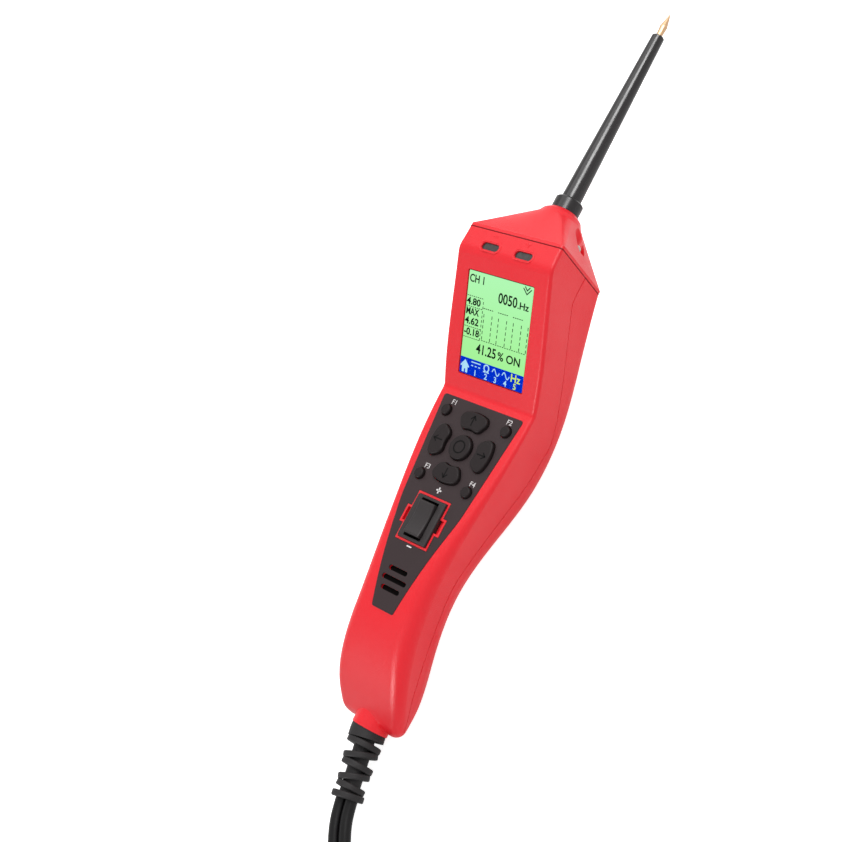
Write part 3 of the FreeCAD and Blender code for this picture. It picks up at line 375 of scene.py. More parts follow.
def moulded_surface():
    """Node group: colour drift, roughness drift and fine grain of a moulded surface."""
    known = bpy.data.node_groups.get("moulded_surface")
    if known:
        return known
    tree = bpy.data.node_groups.new("moulded_surface", "ShaderNodeTree")
    for way, kind, names in (
        ("INPUT", "NodeSocketColor", ("Main Colour", "Second Colour")),
        ("INPUT", "NodeSocketFloat", ("Drift Scale", "Grain Scale", "Smoothest", "Roughest")),
        ("OUTPUT", "NodeSocketColor", ("Colour",)),
        ("OUTPUT", "NodeSocketFloat", ("Roughness", "Grain")),
    ):
        for name in names:
            tree.interface.new_socket(name=name, in_out=way, socket_type=kind)
    inside = tree.nodes.new("NodeGroupInput")
    outside = tree.nodes.new("NodeGroupOutput")
    where = add(tree, "ShaderNodeTexCoord")
    drift = add(tree, "ShaderNodeTexNoise", {"Detail": 4.0})
    grain = add(tree, "ShaderNodeTexNoise", {"Detail": 2.0})
    mix = add(tree, "ShaderNodeMix", data_type="RGBA")
    spread = add(tree, "ShaderNodeMapRange", {"From Min": 0.3, "From Max": 0.7})
    wire(tree,
         (where, "Object", drift, "Vector"), (where, "Object", grain, "Vector"),
         (inside, "Drift Scale", drift, "Scale"), (inside, "Grain Scale", grain, "Scale"),
         (drift, "Fac", mix, "Factor"), (inside, "Main Colour", mix, "A"),
         (inside, "Second Colour", mix, "B"), (drift, "Fac", spread, "Value"),
         (inside, "Smoothest", spread, "To Min"), (inside, "Roughest", spread, "To Max"),
         (mix, "Result", outside, "Colour"), (spread, "Result", outside, "Roughness"),
         (grain, "Fac", outside, "Grain"))
    return tree


def fresh_finish(name):
    finish = bpy.data.materials.new(name)
    finish.use_nodes = True
    return finish, finish.node_tree, finish.node_tree.nodes["Principled BSDF"]


def moulded(name, main, second, smoothest, roughest, grain_scale=2600.0, grain_depth=0.00002,
            grain_strength=0.25, drift_scale=60.0, specular=0.5, **shader):
    """A finish on the moulded surface group; the rest are constants of the shader."""
    finish, tree, surface = fresh_finish(name)
    group = fill(add(tree, "ShaderNodeGroup", node_tree=moulded_surface()),
                 Main_Colour=(*main, 1), Second_Colour=(*second, 1), Drift_Scale=drift_scale,
                 Grain_Scale=grain_scale, Smoothest=smoothest, Roughest=roughest)
    bump = add(tree, "ShaderNodeBump", {"Strength": grain_strength, "Distance": grain_depth})
    wire(tree,
         (group, "Colour", surface, "Base Color"), (group, "Roughness", surface, "Roughness"),
         (group, "Grain", bump, "Height"), (bump, "Normal", surface, "Normal"))
    fill(surface, Specular_IOR_Level=specular, **shader)
    return finish


def lit(name, colour, strength=1.0):
    """A finish that glows with one colour."""
    finish, _, surface = fresh_finish(name)
    fill(surface, Base_Color=(*shaded(colour, UNLIT_SHARE), 1), Roughness=0.6,
         Specular_IOR_Level=0.0, Emission_Color=(*colour, 1), Emission_Strength=strength)
    return finish


# Stage
SENSOR_WIDTH = 36.0
CLIP = (0.01, 20.0)
FLOOR_SIZE = 6.0
FLOOR_DROP = 0.0002
FLOOR_SEEN = 0.82
FLOOR_MIRRORED = 0.25
LAMP_AIM = Vector((0, 0, 0.03))
# Each lamp as name, place, size, setting of its power, and whether it lights matt surfaces
LAMPS = (
    ("key_lamp", Vector((-0.35, 0.68, 1.15)), 1.2, "key_power", True),
    ("edge_lamp", Vector((-0.15, -0.82, 0.44)), 0.26, "edge_power", False),
    ("probe_lamp", Vector((0.33, 0.5, 0.9)), 0.42, "probe_power", False),
)


class TESTER_OT_stage(bpy.types.Operator):
    """Floor, lamps, sky and camera"""
    bl_idname = "tester.stage"
    bl_label = "Stage"

    def execute(self, context):
        studio = context.scene.tester_studio
        context.scene.view_settings.view_transform = "Standard"
        self.camera(context, studio)
        self.floor(studio)
        self.lamps(studio)
        self.sky(context, studio)
        return {"FINISHED"}

    def camera(self, context, studio):
        data = bpy.data.cameras.new("camera")
        data.lens = studio.lens
        data.sensor_width = SENSOR_WIDTH
        data.clip_start, data.clip_end = CLIP
        camera = new_object("camera", data)
        camera.location = studio.camera_place
        camera.rotation_euler = studio.camera_turn
        context.scene.camera = camera

    def floor(self, studio):
        clear_selection()
        bpy.ops.mesh.primitive_plane_add(size=FLOOR_SIZE, location=(0, 0, -FLOOR_DROP))
        floor = settle(bpy.context.object)
        floor.name = "floor"
        finish, tree, surface = fresh_finish("floor")
        fill(surface, Base_Color=(*studio.floor, 1), Roughness=0.9, Specular_IOR_Level=0.0,
             Emission_Color=WHITE)
        ray = add(tree, "ShaderNodeLightPath")
        shown = add(tree, "ShaderNodeMath", operation="MAXIMUM")
        mirrored = add(tree, "ShaderNodeMath", operation="MULTIPLY")
        mirrored.inputs[1].default_value = FLOOR_MIRRORED
        lift = add(tree, "ShaderNodeMath", operation="MULTIPLY_ADD")
        lift.inputs[1].default_value = FLOOR_SEEN
        wire(tree,
             (ray, "Is Glossy Ray", shown, 0), (ray, "Is Transmission Ray", shown, 1),
             (shown, 0, mirrored, 0), (ray, "Is Camera Ray", lift, 0),
             (mirrored, 0, lift, 2), (lift, 0, surface, "Emission Strength"))
        floor.data.materials.append(finish)

    def lamps(self, studio):
        for name, spot, size, power, matt in LAMPS:
            data = bpy.data.lights.new(name, "AREA")
            data.shape = "SQUARE"
            data.size = size
            data.energy = getattr(studio, power)
            lamp = new_object(name, data)
            lamp.location = spot
            lamp.rotation_euler = (LAMP_AIM - spot).to_track_quat("-Z", "Y").to_euler()
            lamp.visible_diffuse = matt

    def sky(self, context, studio):
        world = bpy.data.worlds.new("sky")
        world.use_nodes = True
        context.scene.world = world
        tree = world.node_tree
        ground = fill(tree.nodes["Background"], Color=WHITE)
        ray = add(tree, "ShaderNodeLightPath")
        level = add(tree, "ShaderNodeMix", {"A": studio.sky, "B": 1.0})
        seen = add(tree, "ShaderNodeMath", operation="MAXIMUM")
        shown = add(tree, "ShaderNodeMath", operation="MAXIMUM")
        wire(tree,
             (ray, "Is Camera Ray", seen, 0), (ray, "Is Glossy Ray", seen, 1),
             (seen, 0, shown, 0), (ray, "Is Transmission Ray", shown, 1),
             (shown, 0, level, "Factor"), (level, "Result", ground, "Strength"))


# Supply cord
CORD_EXIT = (5.12, -22.92, 6.7)
CORD_ROUTE = [
    CORD_EXIT,
    (6.185, -27.5, 6.7),
    (8.9, -33.6, 6.5),
    (13.4, -41.2, 5.2),
    (17.9, -52.5, 2.6),
    (19.0, -68.0, 2.1),
    (19.0, -89.4, 2.1),
]
CORD_STEPS = 7
CORD_CREASE = 50
HANK_MIDDLE = (-14.6, -135.1)
HANK_HALF_RUN = 37.5
HANK_HALF_WIDTH = 24.8
HANK_STEP = 8.8
HANK_WAIST = 2.5
HANK_LAYERS = (2.1, 6.7, 11.3, 15.9)
WAIST_REACH = 20.0
TURN_POINTS = 6
# Each run of the hank as side, step outwards, layer at its start, layer at its end
HANK_RUNS = [
    (1, 1, 0, 0), (-1, 1, 0, 0), (1, 0, 0, 0), (-1, 0, 0, 1), (1, 0, 1, 1),
    (-1, 1, 1, 1), (1, 1, 1, 2), (-1, 1, 2, 2), (1, 0, 2, 2), (-1, 0, 2, 3),
]
HANK_TAIL = (1, 0, 3)
PLUG_RUN = 8.2
STRAP_THICKNESS = 1.2
STRAP_BEND = 4.0
STRAP_EDGE = 0.25
STRAP_CREASE = 40
LAP_LENGTH = 38.0
LAP_THICKNESS = 1.0
LAP_SHIFT = 12.0
LAP_CORNER = 3.0
WEAVE_SCALE = 420.0


def hank_points():
    """Control points of the hank's turns: two at each waist and six round each end."""
    middle_x, middle_s = HANK_MIDDLE
    lean = math.atan2(2 * HANK_WAIST, HANK_HALF_RUN)
    sweep = (math.pi + 2 * lean) / TURN_POINTS
    points = []
    following = HANK_RUNS[1:] + [(*HANK_TAIL, HANK_TAIL[2])]
    for (side, step, low, high), (_, next_step, _, _) in zip(HANK_RUNS, following):
        half = HANK_HALF_WIDTH + step * HANK_STEP
        next_half = HANK_HALF_WIDTH + next_step * HANK_STEP
        for share in (-1, 1):
            climb = (1 + share * WAIST_REACH / HANK_HALF_RUN) / 2
            height = HANK_LAYERS[low] + (HANK_LAYERS[high] - HANK_LAYERS[low]) * climb
            points.append((middle_x + side * (half - HANK_WAIST),
                           middle_s - side * share * WAIST_REACH, height))
        # The runs lean outwards, so each end is a little more than half a circle
        radius = (half + next_half) / 2
        centre = HANK_HALF_RUN + radius * math.tan(lean)
        reach = radius / math.cos(lean) / math.cos(sweep / 2)
        for k in range(TURN_POINTS):
            turn = (k + 0.5) * sweep - lean
            points.append((middle_x + side * ((half - next_half) / 2 + reach * math.cos(turn)),
                           middle_s - side * (centre + reach * math.sin(turn)),
                           HANK_LAYERS[high]))
    side, step, layer = HANK_TAIL
    half = HANK_HALF_WIDTH + step * HANK_STEP
    points.append((middle_x + side * (half - PLUG_RUN * math.sin(lean)),
                   middle_s + HANK_HALF_RUN - PLUG_RUN * math.cos(lean), HANK_LAYERS[layer]))
    return points


class TESTER_OT_supply_cord(bpy.types.Operator):
    """Twin supply cord with its put-away hank, its strap and its plug"""
    bl_idname = "tester.supply_cord"
    bl_label = "Supply cord"

    def execute(self, context):
        colours = context.scene.tester_colours
        sizes = context.scene.tester_sizes
        insulation = moulded("cord_insulation", colours.cord, shaded(colours.cord, 1.35),
                             0.26, 0.38, grain_scale=900.0, grain_depth=0.00003,
                             grain_strength=0.3, specular=0.2)
        rubber = moulded("soft_rubber", colours.rubber, shaded(colours.rubber, 1.3), 0.5, 0.66,
                         grain_scale=1800.0, grain_depth=0.00004, grain_strength=0.35,
                         specular=0.25)
        pins = moulded("plated_pin", linear(206, 202, 196), linear(188, 184, 178), 0.22, 0.34,
                       Metallic=1.0)
        dress(rubber, "strain_relief", "cord_plug")
        dress(pins, "plug_pins")
        strap = self.strap()
        line = self.middle_line()
        cord = keep(self.twin_tube(line, sizes), "supply_lead", insulation)
        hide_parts("supply_cord", "supply_hank")
        return {"FINISHED"}

    def middle_line(self):
        """Points along the smooth line of the route, read from its spline."""
        points = [at(*p) for p in CORD_ROUTE + hank_points()]
        curve = bpy.data.curves.new("supply_route", "CURVE")
        curve.dimensions = "3D"
        curve.resolution_u = CORD_STEPS
        spline = curve.splines.new("NURBS")
        spline.points.add(len(points) - 1)
        for knot, point in zip(spline.points, points):
            knot.co = (*point, 1.0)
        spline.order_u = 3
        spline.use_endpoint_u = True
        holder = new_object("supply_route", curve)
        bpy.context.view_layer.update()
        mesh = bpy.data.meshes.new_from_object(holder)
        line = [v.co.copy() for v in mesh.vertices]
        bpy.data.objects.remove(holder)
        bpy.data.meshes.remove(mesh)
        return line

    def twin_tube(self, line, sizes):
        """Two round cores side by side, swept along the line."""
        count = sizes.core_sides
        up = Vector((0, 0, 1))
        spots = []
        faces = []
        for side in (-1, 1):
            first = len(spots)
            for i, point in enumerate(line):
                along = (line[min(i + 1, len(line) - 1)] - line[max(i - 1, 0)]).normalized()
                across = up.cross(along).normalized()
                rise = along.cross(across)
                middle = point + across * (side * sizes.core_offset)
                for k in range(count):
                    turn = 2 * math.pi * k / count
                    reach = across * math.cos(turn) + rise * math.sin(turn)
                    spots.append(middle + reach * sizes.core_radius)
            for i in range(len(line) - 1):
                row = first + i * count
                for k in range(count):
                    n = (k + 1) % count
                    faces.append((row + k, row + n, row + count + n, row + count + k))
            last = first + (len(line) - 1) * count
            faces.append(tuple(range(first, first + count)))
            faces.append(tuple(range(last, last + count)))
        mesh = bpy.data.meshes.new("supply_lead")
        mesh.from_pydata(spots, [], faces)
        return smooth(clean(new_object("supply_lead", mesh)), CORD_CREASE)

    def strap(self):
        """Hook-and-loop strap round the hank, its end lapped over itself."""
        low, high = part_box("hank_tie")
        middle = (low + high) / 2
        size = high - low
        band = block(middle, size)
        edit(band)
        choose(band, "faces", lambda f: abs(f.normal.y) > FACING)
        bpy.ops.mesh.delete(type="FACE")
        leave()
        round_edges(band, lambda e: all(v.co.z > middle.z for v in e.verts)
                    and abs(e.verts[0].co.y - e.verts[1].co.y) > MM, STRAP_BEND * MM, 6)
        modify(band, "SOLIDIFY", thickness=STRAP_THICKNESS * MM, offset=-1.0)
        lap = block((middle.x - LAP_SHIFT * MM, middle.y, high.z + LAP_THICKNESS / 2 * MM),
                    (LAP_LENGTH * MM, size.y, LAP_THICKNESS * MM))
        round_edges(lap, upright(LAP_THICKNESS / 2 * MM), LAP_CORNER * MM, 5)
        for part in (band, lap):
            modify(part, "BEVEL", width=STRAP_EDGE * MM, segments=2, limit_method="ANGLE")
        piece = keep(join([band, lap]), "hank_strap", self.weave())
        smooth(piece, STRAP_CREASE)
        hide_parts("hank_tie")
        return piece

    def weave(self):
        finish, tree, surface = fresh_finish("strap_weave")
        where = add(tree, "ShaderNodeTexCoord")
        warp = add(tree, "ShaderNodeTexWave", {"Scale": WEAVE_SCALE}, bands_direction="X")
        weft = add(tree, "ShaderNodeTexWave", {"Scale": WEAVE_SCALE}, bands_direction="Y")
        both = add(tree, "ShaderNodeMath", operation="MULTIPLY")
        tint = add(tree, "ShaderNodeMix", {"A": (*linear(26, 26, 28), 1),
                                           "B": (*linear(62, 61, 64), 1)}, data_type="RGBA")
        bump = add(tree, "ShaderNodeBump", {"Strength": 0.7, "Distance": 0.0003})
        wire(tree,
             (where, "Object", warp, "Vector"), (where, "Object", weft, "Vector"),
             (warp, "Fac", both, 0), (weft, "Fac", both, 1),
             (both, 0, tint, "Factor"), (both, 0, bump, "Height"),
             (tint, "Result", surface, "Base Color"), (bump, "Normal", surface, "Normal"))
        fill(surface, Roughness=0.85, Sheen_Weight=0.25)
        return finish


# Housing
INDICATOR_STATION = 152.9
INDICATOR_OFFSET = 7.0
RIM_LENGTH = 4.5
RIM_RADIUS = 2.1
RIM_EDGE = 0.08
RIM_CREASE = math.radians(50)
RIM_DEPTH = (BAND_HEIGHT - 0.1, BAND_HEIGHT + 0.12)
SIGN_RISE = 3.9
SIGN_ARM = 0.8
SIGN_WIDTH = 0.35
JOINT_SPREAD = 1.0025
JOINT_THICKNESS = 0.08
SCREW_POINTS = 40
SCREW_HEAD_RADIUS = 2.4
SCREW_HEAD_HEIGHT = 1.8
SCREW_HEAD_EDGE = 0.5
SCREW_CREASE = 35
SCREW_SHANK_RADIUS = 1.2
SCREW_SHANK_LENGTH = 5.4
TAIL_SCREW_SINK = 1.4
RECESS_ARM = 1.25
RECESS_WIDTH = 0.7
RECESS_DEPTH = 1.0


def cross(x, y, arm):
    """The two lines of a plus sign."""
    return [[(x - arm, y), (x + arm, y)], [(x, y - arm), (x, y + arm)]]


class TESTER_OT_housing(bpy.types.Operator):
    """Red shells and nose cap, the rims and signs at the indicators, and the case screws"""
    bl_idname = "tester.housing"
    bl_label = "Housing"

    def execute(self, context):
        colours = context.scene.tester_colours
        sizes = context.scene.tester_sizes
        red = moulded("housing_red", colours.housing, colours.housing_shade, 0.3, 0.4,
                      grain_scale=2400.0, grain_depth=0.0002, grain_strength=0.5, specular=0.32)
        dress(red, "front_shell", "rear_shell", "nose_cap")
        lens = moulded("indicator_lens", linear(74, 71, 69), linear(38, 36, 36), 0.14, 0.3,
                       grain_scale=500.0, grain_depth=0.0001, grain_strength=0.5,
                       drift_scale=420.0, specular=0.35)
        dress(lens, "indicator_lenses")
        lamp = moulded("lamp_clear", linear(236, 232, 222), linear(214, 210, 200), 0.08, 0.16,
                       Transmission_Weight=0.35)
        dress(lamp, "worklight_lenses")
        self.indicator_marks(red, sizes)
        self.joint_line(sizes)
        self.screws()
        return {"FINISHED"}

    def joint_line(self, sizes):
        """A thin dark line where the nose cap meets the shells."""
        width = sizes.joint_line
        low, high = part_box("front_shell")
        joint = high.y
        piece = clean(new_object("cap_joint_line", nodes["nose_cap"].data.copy()))
        edit(piece, "VERT")
        take_all()
        bpy.ops.mesh.bisect(plane_co=(0, joint + width / 2, 0), plane_no=(0, 1, 0),
                            clear_inner=True, clear_outer=True)
        # The outline is the loop that reaches furthest
        mesh = bmesh.from_edit_mesh(piece.data)
        furthest = max(mesh.verts, key=lambda v: v.co.x)
        loop = {furthest}
        fresh = [furthest]
        while fresh:
            spot = fresh.pop()
            for edge in spot.link_edges:
                other = edge.other_vert(spot)
                if other not in loop:
                    loop.add(other)
                    fresh.append(other)
        choose(piece, "verts", lambda v: v not in loop)
        bpy.ops.mesh.delete(type="VERT")
        take_all()
        bpy.ops.transform.resize(value=(JOINT_SPREAD, 1, JOINT_SPREAD),
                                 center_override=(0, joint, (low.z + high.z) / 2))
        extrude((0, -width, 0))
        take_all()
        bpy.ops.mesh.normals_make_consistent(inside=False)
        leave()
        modify(piece, "SOLIDIFY", thickness=JOINT_THICKNESS * MM, offset=-1.0)
        dark = moulded("joint_shadow", linear(118, 12, 20), linear(98, 10, 17), 0.6, 0.75,
                       specular=0.1)
        keep(piece, "cap_joint_line", dark)

    def indicator_marks(self, red, sizes):
        """Raised rims round the two lenses, and a raised minus and plus above them."""
        made = []
        x = INDICATOR_OFFSET
        y = INDICATOR_STATION - HALF_LENGTH
        for side in (-1, 1):
            rim = pill(RIM_LENGTH, RIM_RADIUS, *RIM_DEPTH, sizes.oval_rim / MM)
            rim.location = (side * x, y, 0)
            made.append(settle(rim))
        minus = cross(-x, y + SIGN_RISE, SIGN_ARM)[:1]
        plus = cross(x, y + SIGN_RISE, SIGN_ARM)
        made.append(strokes(minus + plus, SIGN_WIDTH, *RIM_DEPTH))
        piece = join(made)
        modify(piece, "BEVEL", width=RIM_EDGE, segments=2, limit_method="ANGLE",
               angle_limit=RIM_CREASE)
        keep(place(piece, TO_METRES), "indicator_rims", red)

    def screws(self):
        """Case screws with rounded heads and cross recesses, sunk into the back."""
        steel = moulded("screw_steel", linear(150, 150, 154), linear(120, 120, 124), 0.28, 0.45,
                        Metallic=1.0)
        spots = [v.co.copy() for v in nodes["case_screws"].data.vertices]
        made = []
        for side in (-1, 1):
            for at_head in (True, False):
                group = [c for c in spots if c.x * side > 0 and (c.y > 0) == at_head]
                x, y = ((min(c[k] for c in group) + max(c[k] for c in group)) / 2 for k in (0, 1))
                low = min(c.z for c in group) + (0 if at_head else TAIL_SCREW_SINK * MM)
                made.append(self.screw(Vector((x, y, low))))
        piece = keep(join(made), "case_screw_set", steel)
        smooth(piece, SCREW_CREASE)
        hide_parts("case_screws")

    def screw(self, foot):
        high = SCREW_HEAD_HEIGHT * MM
        clear_selection()
        bpy.ops.mesh.primitive_cylinder_add(vertices=SCREW_POINTS, radius=SCREW_HEAD_RADIUS * MM,
                                            depth=high, location=foot + Vector((0, 0, high / 2)))
        head = settle(bpy.context.object)
        edit(head)
        choose(head, "faces", lambda f: f.normal.z > FACING)
        bpy.ops.mesh.inset(thickness=(SCREW_HEAD_RADIUS - SCREW_SHANK_RADIUS) * MM)
        extrude((0, 0, SCREW_SHANK_LENGTH * MM))
        leave()
        round_edges(head, lambda e: all(v.co.z < foot.z + TINY for v in e.verts),
                    SCREW_HEAD_EDGE * MM, 3)
        cutter = strokes(cross(0, 0, RECESS_ARM), RECESS_WIDTH, -RECESS_DEPTH, RECESS_DEPTH)
        place(cutter, Matrix.Translation(foot) @ TO_METRES)
        modify(head, "BOOLEAN", object=cutter, operation="DIFFERENCE", solver="EXACT",
               use_self=True)
        bpy.data.objects.remove(cutter)
        return head


# Screen, drawn in millimetres from the middle of its foot, with depths behind the housing's face
SCREEN_SLOPE = math.radians(34.2)
SCREEN_FOOT = (0.0, 116.314, 36.304)
SCREEN_WIDTH = 28.0
SCREEN_HEIGHT = 35.0
SCREEN_PLACE = (Matrix.Translation(at(*SCREEN_FOOT)) @ Matrix.Rotation(SCREEN_SLOPE, 4, "X")
                @ TO_METRES)
FLANGE_LAP = 1.5
COVER_GAP = 0.18
PICTURE_GAP = 0.32
MENU_TOP = 5.8
COVER_EDGE = 0.12
# Plates of the screen as back, front and corner radius
FLANGE = (-2.0, -1.0, 0.6)
COVER = (-1.05, -0.1, 0.5)
GLOW = (-0.3, -0.27, 0.4)
MENU_BAR = (-0.28, -0.25, 0.3)
# Print on the screen as back and front
INK_DEPTH = (-0.26, -0.22)
MENU_DEPTH = (-0.26, -0.21)
HOME_WIDTH = 0.5
HOME_SIGN = [
    [(-13.1, 2.9), (-11.5, 4.7), (-9.9, 2.9)],
    [(-12.4, 2.9), (-12.4, 1.0)], [(-12.0, 1.0), (-12.0, 3.5)],
    [(-11.6, 2.2), (-11.6, 4.0)], [(-11.2, 2.2), (-11.2, 4.0)],
    [(-10.9, 1.0), (-10.9, 3.5)], [(-10.5, 2.9), (-10.5, 1.0)],
    [(-11.9, 3.0), (-11.0, 3.0)],
]
DIRECT_WIDTH = 0.36
DIRECT_SIGN = [
    [(-8.6, 4.9), (-4.9, 4.9)], [(-8.5, 3.7), (-8.1, 3.7)],
    [(-6.95, 3.7), (-6.55, 3.7)], [(-5.4, 3.7), (-5.0, 3.7)],
]
WAVES_AT = (2.0, 6.3)
WAVE_POINTS = 8
WAVE_REACH = 1.5
WAVE_MIDDLE = 4.0
WAVE_RISE = 0.95
WAVE_WIDTH = 0.32
DOWN_WIDTH = 0.34
DOWN_SIGN = [[(9.6, 33.6), (11.1, 31.9), (12.8, 33.6)], [(10.2, 34.2), (11.1, 33.1), (12.1, 34.2)]]
# Print as words, height, place, foot, added weight and, where it is set, width
MENU_WORDS = (
    ("Ω", 2.5, -2.1, 2.9, 0.06),
    ("1", 1.9, -6.8, 0.6, 0.04),
    ("2", 1.9, -2.1, 0.6, 0.04),
    ("3", 1.9, 2.0, 0.6, 0.04),
    ("4", 1.9, 6.3, 0.6, 0.04),
)
CHOSEN_WORDS = (("Hz", 2.5, 10.4, 2.9, 0.05), ("5", 1.9, 10.4, 0.6, 0.04))
READINGS = (
    ("CH 1", 2.5, -13.3, 31.0, 0.07, 6.2),
    ("0050", 3.3, -0.4, 26.7, 0.08, 8.0),
    (".Hz", 2.2, 7.8, 26.7, 0.06, 4.7),
    ("4.80", 2.2, -13.5, 23.6, 0.08, 6.0),
    ("MAX", 2.2, -13.5, 20.3, 0.08, 5.6),
    ("4.62", 2.2, -13.5, 17.1, 0.08, 6.0),
    ("-0.18", 2.2, -13.5, 13.5, 0.08, 6.6),
    ("41.25", 3.2, -7.4, 8.3, 0.08, 8.6),
    ("% ON", 2.7, 1.9, 8.3, 0.07, 9.6),
)
INK_GLOW = 0.5
BOX_LINES = (26.4, 22.9, 16.2, 12.6)
BOX_ENDS = (-13.5, -6.5)
BOX_SIDE = ((-6.4, 12.6), (-6.4, 26.2))
EDGES_AT = (-5.6, -2.1, 0.7, 4.2, 7.0, 10.4, 13.2)
EDGE_ENDS = (13.2, 23.4)
CREST = 23.5
CREST_LAP = 0.5
BASE = 12.9
# Dashes as length, gap and width
BOX_DASH = (0.55, 0.35, 0.24)
SIDE_DASH = (0.9, 0.6, 0.24)
EDGE_DASH = (1.1, 0.75, 0.26)
CREST_DASH = (0.6, 0.3, 0.26)
BASE_DASH = (0.6, 0.4, 0.24)


class TESTER_OT_screen(bpy.types.Operator):
    """Clear window, lit screen with a plain readout, and its menu bar"""
    bl_idname = "tester.screen"
    bl_label = "Screen"

    def execute(self, context):
        colours = context.scene.tester_colours
        frame_black = moulded("panel_frame", linear(34, 36, 34), linear(24, 26, 24), 0.3, 0.45)
        dress(frame_black, "display_panel")
        self.cover()
        self.glow(colours)
        self.menu(colours)
        self.readout(colours)
        return {"FINISHED"}

    def show(self, made, name, finish):
        keep(place(join(made), SCREEN_PLACE), name, finish)

    def slab(self, gap, top, plate):
        """A thin plate with round corners, kept a gap inside the screen's edges."""
        low, high, corner = plate
        piece = block((0, (gap + top) / 2, (low + high) / 2),
                      (SCREEN_WIDTH - 2 * gap, top - gap, high - low))
        return round_edges(piece, upright((high - low) / 2), corner, 4)

    def cover(self):
        """Clear window with a flange behind the housing and a raised middle in its opening."""
        glass, _, surface = fresh_finish("window_clear")
        fill(surface, Base_Color=(*linear(30, 40, 34), 1), Roughness=0.06, Specular_IOR_Level=0.2,
             Alpha=0.06)
        flange = self.slab(-FLANGE_LAP, SCREEN_HEIGHT + FLANGE_LAP, FLANGE)
        raised = self.slab(COVER_GAP, SCREEN_HEIGHT - COVER_GAP, COVER)
        modify(raised, "BEVEL", width=COVER_EDGE, segments=2, limit_method="ANGLE")
        piece = place(join([flange, raised]), SCREEN_PLACE)
        keep(piece, "screen_cover", glass)
        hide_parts("display_window")

    def glow(self, colours):
        finish, tree, surface = fresh_finish("screen_glow")
        foot = SCREEN_FOOT[2] * MM
        rise = SCREEN_HEIGHT * math.sin(SCREEN_SLOPE) * MM
        where = add(tree, "ShaderNodeTexCoord")
        split = add(tree, "ShaderNodeSeparateXYZ")
        span = add(tree, "ShaderNodeMapRange", {"From Min": foot, "From Max": foot + rise})
        blend = add(tree, "ShaderNodeMix", {"A": (*colours.screen_foot, 1),
                                            "B": (*colours.screen_top, 1)}, data_type="RGBA")
        wire(tree,
             (where, "Object", split, "Vector"), (split, "Z", span, "Value"),
             (span, "Result", blend, "Factor"), (blend, "Result", surface, "Emission Color"))
        fill(surface, Base_Color=(0.02, 0.03, 0.02, 1), Emission_Strength=1.02, Roughness=0.6,
             Specular_IOR_Level=0.0)
        piece = self.slab(PICTURE_GAP, SCREEN_HEIGHT - PICTURE_GAP, GLOW)
        self.show([piece], "screen_glow", finish)

    def menu(self, colours):
        """Blue bar with a home sign, the signs of four readings, and the chosen one."""
        self.show([self.slab(PICTURE_GAP, MENU_TOP, MENU_BAR)], "screen_menu_bar",
                  lit("screen_blue", colours.menu_bar))
        made = [strokes(HOME_SIGN, HOME_WIDTH, *MENU_DEPTH),
                strokes(DIRECT_SIGN, DIRECT_WIDTH, *MENU_DEPTH)]
        for x in WAVES_AT:
            wave = []
            for k in range(-WAVE_POINTS, WAVE_POINTS + 1):
                share = k / WAVE_POINTS
                rise = WAVE_RISE * math.sin(math.pi * share)
                wave.append((x + WAVE_REACH * share, WAVE_MIDDLE - rise))
            made.append(strokes([wave], WAVE_WIDTH, *MENU_DEPTH))
        made += self.words(MENU_WORDS, MENU_DEPTH, "CENTER")
        self.show(made, "screen_menu_signs", lit("screen_pale", colours.menu_marks))
        self.show(self.words(CHOSEN_WORDS, MENU_DEPTH, "CENTER"), "screen_menu_chosen",
                  lit("screen_chosen", colours.menu_chosen))

    def words(self, table, depth, align="LEFT"):
        return [lettering(words, height, x, foot, *depth, align, *rest)
                for words, height, x, foot, *rest in table]

    def readout(self, colours):
        made = self.words(READINGS, INK_DEPTH)
        made.append(strokes(DOWN_SIGN, DOWN_WIDTH, *INK_DEPTH))
        made.append(self.dashes())
        self.show(made, "screen_readout", lit("screen_ink", colours.screen_ink, INK_GLOW))

    def dashes(self):
        """Dashed boxes round the figures on the left, and a dashed square wave."""
        made = []

        def dashed(start, end, dash, gap, width):
            run = Vector(end) - Vector(start)
            count = int((run.length + gap) / (dash + gap))
            step = run.normalized()
            for k in range(count):
                first = Vector(start) + step * (k * (dash + gap))
                made.append(bar(first, first + step * dash, width, *INK_DEPTH))

        left, right = BOX_ENDS
        for y in BOX_LINES:
            dashed((left, y), (right, y), *BOX_DASH)
        dashed(*BOX_SIDE, *SIDE_DASH)
        low, high = EDGE_ENDS
        for x in EDGES_AT:
            dashed((x, low), (x, high), *EDGE_DASH)
        for left, right in zip(EDGES_AT[0:-1:2], EDGES_AT[1::2]):
            dashed((left - CREST_LAP, CREST), (right + CREST_LAP, CREST), *CREST_DASH)
        dashed((EDGES_AT[0], BASE), (EDGES_AT[-1], BASE), *BASE_DASH)
        return join(made)


# Keypad
ARROW_KEYS = ("up_key", "right_key", "down_key", "left_key")
BUTTONS = ("upper_left_button", "upper_right_button", "lower_left_button", "lower_right_button")
PAD_STATION = 93.5
PAD_PLACE = Matrix.Translation(at(0, PAD_STATION, 0)) @ TO_METRES
ARROW = [[(0, 8.0), (0, 11.2)], [(-0.95, 10.1), (0, 11.2), (0.95, 10.1)]]
ARROW_EDGE = 0.06
RING_RADIUS = 2.3
PRINT_SINK = 0.05
CAPTIONS = (("F1", -11.6, 106.2), ("F2", 12.6, 106.2), ("F3", -9.0, 83.2), ("F4", 11.0, 83.2))
PLUS_STATION = 78.0
PLUS_WIDTH = 0.5
MINUS_STATION = 57.6
MINUS_WIDTH = 0.45
